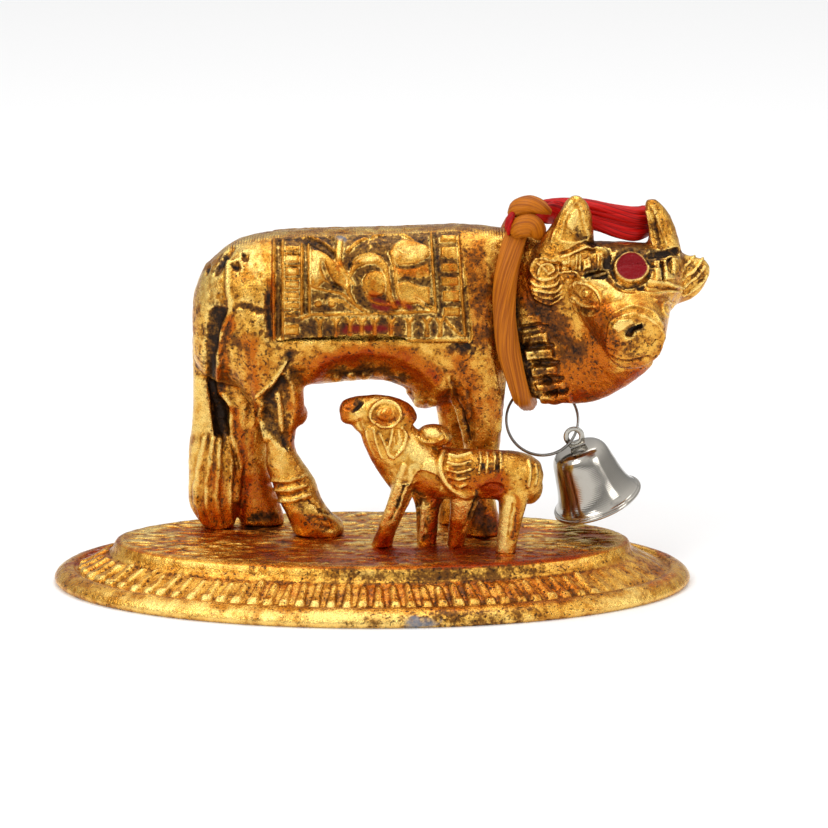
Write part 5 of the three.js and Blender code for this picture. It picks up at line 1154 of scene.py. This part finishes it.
# %% The neck thread
NECK_ROUTE = [[31.07, 7, 34.9], [30.42, 1.76, 36.43], [29.43, -2.82, 38.99], [27.27, -2.55, 46.45],
    [26.53, -2.51, 50.51], [26.2, -2.8, 53.37], [26.04, -2.92, 56], [26.01, -2.86, 58.64],
    [26.19, -2.43, 61.44], [26.66, -1.42, 64.42], [27.55, 0.16, 67.85], [28.68, 2.99, 70.95],
    [29.13, 7, 71.98], [28.79, 11.07, 71.2], [27.79, 14.26, 68.57], [26.83, 16.2, 65.2],
    [26.25, 17.3, 61.94], [26.01, 17.86, 58.91], [26.04, 17.92, 56], [26.23, 17.8, 53.11],
    [26.62, 17.49, 49.95], [27.27, 16.55, 46.45], [28.86, 15.86, 40.65], [30.42, 12.24, 36.43]]
NECK_DEEP = [1.8] * 3 + [2.2] * 19 + [1.8] * 2
KNOT_TOP = [[27.4, 3.0, 74.2], [28.6, 2.4, 75.4], [30.6, 2.2, 76.0], [32.8, 2.6, 75.7], [34.8, 3.4, 74.6]]
KNOT_LOW = [[28.0, 0.4, 70.6], [29.2, -0.2, 72.0], [30.9, 0.0, 72.6], [32.4, 1.0, 71.2], [32.8, 2.0, 69.8]]
neck_mesh = hank_mesh("neck_hank", [
    hank(NECK_ROUTE, [1.5] * 24, NECK_DEEP, 96, 420, 6, 1.0, 0.07, 1, True, (1, 0, 0)),
    hank(KNOT_TOP, [0.9, 1.7, 2.0, 1.6, 0.8], [1.4, 2.3, 2.6, 2.3, 1.4], 64, 60, 6, 0.3, 0.06, 2),
    hank(KNOT_LOW, [1.1, 2.1, 2.3, 1.9, 1.0], [1.0, 1.9, 1.9, 1.6, 1.0], 64, 56, 6, 0.3, 0.06, 3)])
placed("neck_hank", neck_mesh, "neck_thread")

# %% [markdown]
# The red hank starts in the knot, passes behind the near horn and is caught behind the far
# one. It is five thinner bundles side by side, each with folds of its own. A short piece of
# it shows between the knot's two turns, and another at the knot's left.

# %% The horn thread
HORN_ROUTE = np.array([[33.6, 7.4, 74.4], [37, 6.9, 74.2], [41, 6.2, 73.8], [45, 5, 73.2], [49, 4.2, 72.4],
                       [52, 4.4, 72], [54.6, 6.6, 72], [57, 8, 71.6], [58.6, 8.2, 71]])
HORN_HIGH = np.array([1.5, 2.2, 2.4, 2.5, 2.8, 3.1, 2.8, 2.2, 1.2])
TAIL_ROUTE = [[31.0, 1.2, 73.2], [32.4, 1.3, 73.9], [34.0, 2.4, 74.2], [35.6, 4.6, 74.1], [37.4, 6.2, 74.0]]
SIDE_ROUTE = [[27.9, 1.0, 75.0], [27.2, 0.6, 73.8], [26.9, 0.4, 72.2], [26.9, 0.8, 70.6]]

def horn_bundle(number):
    """One of the five bundles: the route moved up or down, and a little in and out."""
    place = np.arange(9)
    route = HORN_ROUTE.copy()
    route[:, 2] += (number - 2) * HORN_HIGH * 0.36 + 0.25 * np.sin(place * 1.3 + number)
    route[:, 1] += 0.35 * np.cos(place * 0.9 + number * 1.7)
    thick = 0.36 * HORN_HIGH + 0.15
    return hank(route, thick, thick * 1.15, 32, 110, 4, 0.5, 0.12, 10 + number)

horn_mesh = hank_mesh("horn_hank", [
    *[horn_bundle(number) for number in range(5)],
    hank(TAIL_ROUTE, [0.5, 1.1, 1.9, 2.2, 2.0], [0.5, 0.7, 0.8, 0.9, 0.9], 48, 48, 6, 0.3, 0.10, 21),
    hank(SIDE_ROUTE, [0.4, 0.8, 0.8, 0.3], [0.6, 1.2, 1.2, 0.6], 40, 40, 5, 0.3, 0.10, 22)])
placed("horn_hank", horn_mesh, "horn_thread")

# %% [markdown]
# The ring is spring wire in two turns that lie side by side, as on a key ring. It is one
# path that goes round twice and steps sideways once, with the wire carried along it.

# %% The split ring
RING_CENTRE = np.array([33.9, 5.4, 31.7])
RING_RADIUS, RING_LEAN, RING_TURNS, WIRE_RADIUS = 7.15, np.radians(25.0), 2.0, 0.27
RING_UP = np.array([0, np.sin(RING_LEAN), np.cos(RING_LEAN)])
RING_NORMAL = np.cross(RING_UP, [1.0, 0, 0])

def ring_wire(count=260, sides=12):
    """The wire as a tube. Its middle is R(cos t, sin t) in the ring's plane, and halfway
    along it steps sideways by about a wire's thickness."""
    t = (np.linspace(0, 2 * np.pi * RING_TURNS, count) + np.radians(100))[:, None]
    step = WIRE_RADIUS * 0.95 * np.tanh((np.linspace(0, 1, count) - 0.5) * 14)
    out = np.cos(t) * np.array([1.0, 0, 0]) + np.sin(t) * RING_UP
    centre = RING_CENTRE + out * RING_RADIUS + RING_NORMAL * step[:, None]
    normal = np.cross(unit(np.gradient(centre, axis=0)), out)
    turn = circle(sides)[None, :, None]
    section = out[:, None] * np.cos(turn) + normal[:, None] * np.sin(turn)
    return capped(centre[:, None] + WIRE_RADIUS * section)

ring_mesh = new_mesh("ring_wire", *ring_wire())
placed("ring_wire", ring_mesh, "split_ring")
print("ring:", len(ring_mesh.polygons), "faces")

# %% [markdown]
# The bell is spun from thin sheet: a profile turned about its axis, out over the mouth's
# rolled rim and back up inside with a true wall. Its place is the frame's: it hangs from the
# ring and leans to one side.

# %% The bell, its tab and its clapper
BELL_AXES = np.array([[0.9336, 0, 0.3584], [-0.0499, 0.9903, 0.1299], [-0.3549, -0.1392, 0.9245]])
BELL_FOOT = np.array([45.2562, 6.069, 14.6828])
BELL_WALL, BELL_SIDES, BELL_ROWS, RIM_INSIDE = 0.5, 96, 150, (8.75, 0.05)
BELL_OUTSIDE = [[0, 12.8], [2.4, 12.75], [3.9, 12.5], [4.8, 12], [5.45, 11.2], [5.85, 10.1], [6.15, 8.6],
    [6.45, 7], [6.75, 5.4], [7.2, 3.6], [7.75, 2.2], [8.4, 1.25], [8.75, 0.95], [8.85, 0.75], [9.05, 0.7],
    [9.2, 0.45], [9.2, 0.2], [9.05, 0]]
TAB_RADIUS, TAB_FOOT, HOLE_RADIUS, TAB_HALF = 2.1, 2.05, 1.2, 0.25
TAB_PLACE, TAB_SOFT, TAB_POINTS = (0.3, 15.0), 0.1, 72
CLAPPER = [[11.2, 0.35], [2, 0.35], [0.6, 0.38], [0.1, 0.9], [-0.7, 1.45], [-1.5, 1.6], [-2.3, 1.4],
    [-2.9, 0.8], [-3, 0.3]]

def hung(points):
    """Points of the bell's own frame, mouth down, set where the bell hangs."""
    return points @ BELL_AXES + BELL_FOOT

def bell_wall():
    """The profile out, over the rim and back up inside by the wall's thickness, turned."""
    outside = np.array(BELL_OUTSIDE)
    back = outside[:-2][::-1] + np.array([0, -BELL_WALL])
    back[:, 0] = np.maximum(back[:, 0] - BELL_WALL, 0.0)
    profile = flow(np.concatenate([outside, [RIM_INSIDE], back[back[:, 1] > 0.25]]), BELL_ROWS)
    reach, level = profile[:, :1], np.repeat(profile[:, 1:], BELL_SIDES, 1)
    turn = circle(BELL_SIDES)
    points = np.stack([reach * np.cos(turn), reach * np.sin(turn), level], -1).reshape(-1, 3)
    return hung(points), outward(points, grid_faces(BELL_ROWS, BELL_SIDES))

def grown(path, by):
    """A closed path moved outward from its middle."""
    return path * (1 + by / np.linalg.norm(path, axis=1, keepdims=True))

def tab_body():
    """A flat lug: a hole inside an outline that is round above and straight to its foot."""
    turn = circle(TAB_POINTS)
    edge = TAB_RADIUS * np.stack([np.cos(turn), np.sin(turn)], -1)
    low = np.sin(turn) < -0.45
    edge[low, 1] = -TAB_FOOT
    edge[low, 0] = np.clip(np.cos(turn[low]) / 0.89, -1, 1) * TAB_RADIUS * 0.75
    hole = HOLE_RADIUS * np.stack([0.85 * np.cos(turn), np.sin(turn)], -1)
    face, bevel = TAB_HALF, TAB_HALF - TAB_SOFT
    soft_edge, soft_hole = grown(edge, -TAB_SOFT), grown(hole, TAB_SOFT)
    loops = [(soft_edge, face), (edge, bevel), (edge, -bevel), (soft_edge, -face),
             (soft_hole, -face), (hole, -bevel), (hole, bevel), (soft_hole, face)]
    points = np.concatenate([np.insert(path + TAB_PLACE, 1, y, axis=1) for path, y in loops])
    return hung(points), outward(points, grid_faces(len(loops), TAB_POINTS, wrap_rows=True))

def clapper_body():
    """The clapper's rod and ball: rows of height and radius, lofted and hung with the bell."""
    points, faces = loft([[0, 0, level, radius, radius] for level, radius in CLAPPER], facing=DOWN)
    return hung(points), faces

bell_mesh = new_mesh("bell_body", *bell_wall())
placed("bell_body", bell_mesh, "bell")
tab_mesh = new_mesh("bell_tab", *tab_body())
placed("bell_tab", tab_mesh, "bell_loop")
clapper_mesh = new_mesh("bell_clapper", *clapper_body())
placed("bell_clapper", clapper_mesh, "clapper")
print("bell:", len(bell_mesh.polygons), "quads")

# %% [markdown]
# A finish is a small net of nodes. This helper holds one material and gives short words for
# what the finishes share: a noise, a ramp, a weighed sum, a mix of two colours, a bump.

# %% Helpers for finishes
class Finish:
    """A new material, with short words for building its nodes."""

    def __init__(self, name):
        self.material = bpy.data.materials.new(name)
        self.material.use_nodes = True
        self.nodes, self.links = self.material.node_tree.nodes, self.material.node_tree.links
        self.shader = self.nodes["Principled BSDF"]

    def feed(self, socket, value):
        """A link, a number or a colour given to a socket."""
        if isinstance(value, bpy.types.NodeSocket):
            self.links.new(value, socket)
        else:
            socket.default_value = value

    def node(self, kind, settings, inputs):
        """A node with its settings made and its inputs fed, by name or by number."""
        made = self.nodes.new(kind)
        for key, value in settings.items():
            setattr(made, key, value)
        for key, value in inputs.items():
            self.feed(made.inputs[key], value)
        return made

    def math(self, operation, *values):
        """One operation on numbers or sockets."""
        return self.node("ShaderNodeMath", {"operation": operation}, dict(enumerate(values))).outputs[0]

    def times(self, first, second):
        """One value times another."""
        return self.math("MULTIPLY", first, second)

    def weighed(self, *terms):
        """The sum of values, each times its weight; a bare number is added as it is."""
        total = None
        for term in terms:
            value = self.times(*term) if isinstance(term, tuple) else term
            total = value if total is None else self.math("ADD", total, value)
        return total

    def place(self):
        """Where a point lies on the piece, in metres."""
        return self.nodes.new("ShaderNodeTexCoord").outputs["Object"]

    def reading(self, layer):
        """A number kept per vertex."""
        return self.node("ShaderNodeAttribute", {"attribute_name": layer}, {}).outputs["Fac"]

    def ramp(self, value, low, high):
        """0 below low, 1 above high, smooth between."""
        ends = {"Value": value, "From Min": low, "From Max": high}
        return self.node("ShaderNodeMapRange", {"interpolation_type": "SMOOTHSTEP"}, ends).outputs["Result"]

    def mixed(self, share, first, second):
        """Two colours mixed by a share."""
        return self.node("ShaderNodeMix", {"data_type": "RGBA"}, {0: share, 6: first, 7: second}).outputs[2]

    def cloud(self, place, scale, detail, rough):
        """Noise read at a place."""
        inputs = {"Vector": place, "Scale": scale, "Detail": detail, "Roughness": rough}
        return self.node("ShaderNodeTexNoise", {}, inputs).outputs["Fac"]

    def cloud_mm(self, place, size, detail, rough, offset=(0, 0, 0)):
        """Noise with features about size millimetres across, moved by an offset."""
        moved = self.node("ShaderNodeVectorMath", {"operation": "ADD"}, {0: place, 1: offset}).outputs[0]
        return self.cloud(moved, 1000.0 / size, detail, rough)

    def bump(self, height, strength, depth_mm):
        """Fine relief that only the light sees."""
        inputs = {"Height": height, "Strength": strength, "Distance": depth_mm * MM}
        self.feed(self.shader.inputs["Normal"], self.node("ShaderNodeBump", {}, inputs).outputs["Normal"])

    def wear(self, **inputs):
        """The shader's own sockets, named with low lines for spaces; gives the material."""
        for key, value in inputs.items():
            self.feed(self.shader.inputs[key.replace("_", " ")], value)
        return self.material

# %% [markdown]
# The finish is what makes this figure: bright yellow gold on the high places, partly rubbed clean
# and partly painted highlight, a red-orange lacquer that has run into the low ones, and black where
# the wash was never wiped out, darker in the hollows partly as painted shade. One recipe is
# shared, and each casting sets how much lacquer it carries.

# %% Gold finish
PALE_GOLD = (0.94, 0.64, 0.18, 1.0)
BRIGHT_GOLD = (0.80, 0.42, 0.065, 1.0)
DEEP_GOLD = (0.50, 0.19, 0.015, 1.0)
AMBER = (0.50, 0.12, 0.005, 1.0)
RED_AMBER = (0.34, 0.035, 0.003, 1.0)
BROWN_WASH_AND_SHADE = (0.13, 0.050, 0.012, 1.0)
BLACK_WASH_AND_SHADE = (0.026, 0.014, 0.008, 1.0)
PAINTS = {"paint": (0.21, 0.003, 0.006, 1.0), "bare": (0.19, 0.22, 0.27, 1.0)}
CLOUDS = {
    "slow": (14.0, 3.0, 0.55), "blotch": (3.6, 5.0, 0.65, (0.3, 0.1, 0.2)),
    "speck": (0.8, 3.0, 0.7, (0.7, 0.5, 0.1)), "grain": (0.35, 2.0, 0.6, (0.2, 0.9, 0.4)),
    "pit": (0.55, 2.0, 0.5, (0.4, 0.6, 0.8))}
HATCH_STEP = 0.55 * MM

def gold(name, lacquer, grime_and_shade, paints=(), hatched=False):
    """Cast gold: pale on raised places, partly rubbed and partly painted highlight; deep where
    noise is high; amber and then red where lacquer ran; brown and then black where the wash
    stayed and in specks, and in hollows partly as painted shade."""
    net = Finish(name)
    place = net.place()
    slow, blotch, speck, grain, pit = (net.cloud_mm(place, *size) for size in CLOUDS.values())
    hollow, amber, wash = (net.reading(layer) for layer in ("hollow", "amber", "wash"))
    deep = net.ramp(net.weighed((blotch, 1.0), (hollow, 0.10), (speck, 0.35)), 0.55, 0.80)
    colour = net.mixed(deep, BRIGHT_GOLD, DEEP_GOLD)
    # Paler on raised places: partly rubbed gold, partly painted highlight.
    edge = net.weighed((hollow, -0.45), (blotch, -1.2), (slow, -0.8), (amber, -0.5), 1.0)
    colour = net.mixed(net.ramp(edge, 0.0, 0.5), colour, PALE_GOLD)
    wet = net.weighed((amber, 0.85), (slow, 1.3), (blotch, 0.9), (hollow, 0.18), (speck, 0.25),
                      lacquer - 1.225)
    colour = net.mixed(net.times(net.ramp(wet, 0.20, 0.70), 0.95), colour, AMBER)
    colour = net.mixed(net.times(net.ramp(wet, 0.80, 1.25), 0.9), colour, RED_AMBER)
    # Brown and black from the wash and specks, and in the hollows partly painted shade.
    wash_and_shade = net.weighed((wash, 0.72), (hollow, 0.30), (blotch, 1.3), (speck, 1.4), grime_and_shade - 1.39)
    brown = net.ramp(wash_and_shade, 0.10, 0.42)
    pitted = net.ramp(net.weighed((blotch, 1.0), (wash, 0.3), (slow, 0.5)), 0.68, 0.84)
    pits = net.times(net.ramp(pit, 0.60, 0.67), pitted)
    black = net.math("MAXIMUM", net.ramp(wash_and_shade, 0.40, 0.85), net.times(pits, 0.85))
    colour = net.mixed(net.times(brown, 0.85), colour, BROWN_WASH_AND_SHADE)
    colour = net.mixed(black, colour, BLACK_WASH_AND_SHADE)
    metal = net.weighed((black, -0.15), 1.0)
    for layer in paints:
        share = net.reading(layer)
        colour = net.mixed(share, colour, PAINTS[layer])
        metal = net.times(metal, net.math("SUBTRACT", 1.0, share))
    relief = net.weighed((grain, 0.45), (speck, 1.3), (brown, -0.35), (pits, -0.9))
    if hatched:
        along = net.node("ShaderNodeSeparateXYZ", {}, {0: place}).outputs["X"]
        wave = net.math("SINE", net.weighed((along, 2 * np.pi / HATCH_STEP), (blotch, 9.0)))
        relief = net.math("ADD", relief, net.times(net.times(wave, net.reading("hatch")), 0.7))
    net.bump(relief, 0.75, 0.24)
    return net.wear(Base_Color=colour, Metallic=metal,
                    Roughness=net.weighed((grain, 0.22), (brown, 0.22), (blotch, 0.1), 0.12),
                    Coat_Weight=net.times(metal, 0.12), Coat_Roughness=0.15,
                    Specular_IOR_Level=net.weighed((metal, 0.15), 0.10))

base_mesh.materials.append(gold("base_gold", 0.02, -0.03, ["bare"]))
cow_mesh.materials.append(gold("cow_hatched_gold", 0.05, 0.03, ["paint"], True))
calf_mesh.materials.append(gold("calf_gold", 0.08, -0.02))
saddle_gold = gold("saddle_hatched_gold", -0.03, 0.0, ["paint", "bare"], True)
for cloth in (near_saddle, far_saddle):
    cloth.data.materials.append(saddle_gold)
print("gold finishes made")

# %% [markdown]
# Silk thread shines across its fibres. Lines of light and dark run along the hank, read from
# the numbers round the section, and a soft sheen lies over them.

# %% Thread finish
def silk(name, light, dark, fibres, sheen):
    """Fibres as stretched noise: fast round the hank, slow along it. A coarser one shades
    whole strands."""
    net = Finish(name)
    turn = net.times(net.reading("round"), 2 * np.pi)
    across, deep, along = net.math("COSINE", turn), net.math("SINE", turn), net.reading("along")

    def stretched(count, slow, detail):
        spot = {0: net.times(across, count), 1: net.times(deep, count), 2: net.times(along, slow)}
        return net.cloud(net.node("ShaderNodeCombineXYZ", {}, spot).outputs[0], 1.0, detail, 0.6)

    fine, strand = stretched(fibres, 0.07, 2.0), stretched(0.3 * fibres, 0.05, 1.0)
    share = net.ramp(net.weighed((fine, 0.6), (strand, 0.4)), 0.36, 0.62)
    net.bump(fine, 0.7, 0.16)
    return net.wear(Base_Color=net.mixed(share, dark, light), Roughness=0.46, Specular_IOR_Level=0.20,
                    Sheen_Weight=0.14, Sheen_Roughness=0.4, Sheen_Tint=sheen)

YELLOW, DEEP_YELLOW = (0.54, 0.155, 0.003, 1.0), (0.29, 0.066, 0.001, 1.0)
RED, DEEP_RED = (0.62, 0.006, 0.004, 1.0), (0.17, 0.0, 0.001, 1.0)
neck_mesh.materials.append(silk("yellow_silk", YELLOW, DEEP_YELLOW, 11.0, (1.0, 0.55, 0.1, 1.0)))
horn_mesh.materials.append(silk("red_silk", RED, DEEP_RED, 6.0, (1.0, 0.1, 0.05, 1.0)))
print("thread finishes made")

# %% [markdown]
# The ring and the bell are nickel on thin metal. It is smooth, grey and a little warm, with
# fine turning lines round the bell and small dull spots where the plate has aged. The greys are
# darker than clean nickel, the ring's most: painted shade for the dark room the metal would reflect.

# %% Nickel finish
TURNING_STEP = 0.35 * MM

def nickel(name, tint, roughness, turning=False):
    """Plated metal whose roughness changes slowly, with fine rings about the bell's axis."""
    net = Finish(name)
    place = net.place()
    worn = net.ramp(net.cloud_mm(place, 3.0, 4.0, 0.6), 0.55, 0.75)
    dull = tuple(0.72 * part for part in tint)
    if turning:
        inputs = {0: place, 1: tuple(BELL_AXES[2])}
        dot = net.node("ShaderNodeVectorMath", {"operation": "DOT_PRODUCT"}, inputs).outputs["Value"]
        net.bump(net.math("SINE", net.times(dot, 2 * np.pi / TURNING_STEP)), 0.12, 0.03)
    return net.wear(Base_Color=net.mixed(worn, (*tint, 1.0), (*dull, 1.0)), Metallic=1.0,
                    Roughness=net.weighed((worn, 0.15), roughness))

# Tints darker than clean nickel: painted shade for the dark surroundings the metal would reflect.
bell_mesh.materials.append(nickel("bell_nickel", (0.44, 0.41, 0.36), 0.14, True))
tab_mesh.materials.append(nickel("tab_nickel", (0.46, 0.44, 0.39), 0.22))
clapper_mesh.materials.append(nickel("clapper_steel", (0.42, 0.40, 0.37), 0.35))
ring_mesh.materials.append(nickel("ring_steel", (0.27, 0.26, 0.24), 0.18))
print("nickel finishes made")

# %% [markdown]

# %% The end
print("figure dressed")
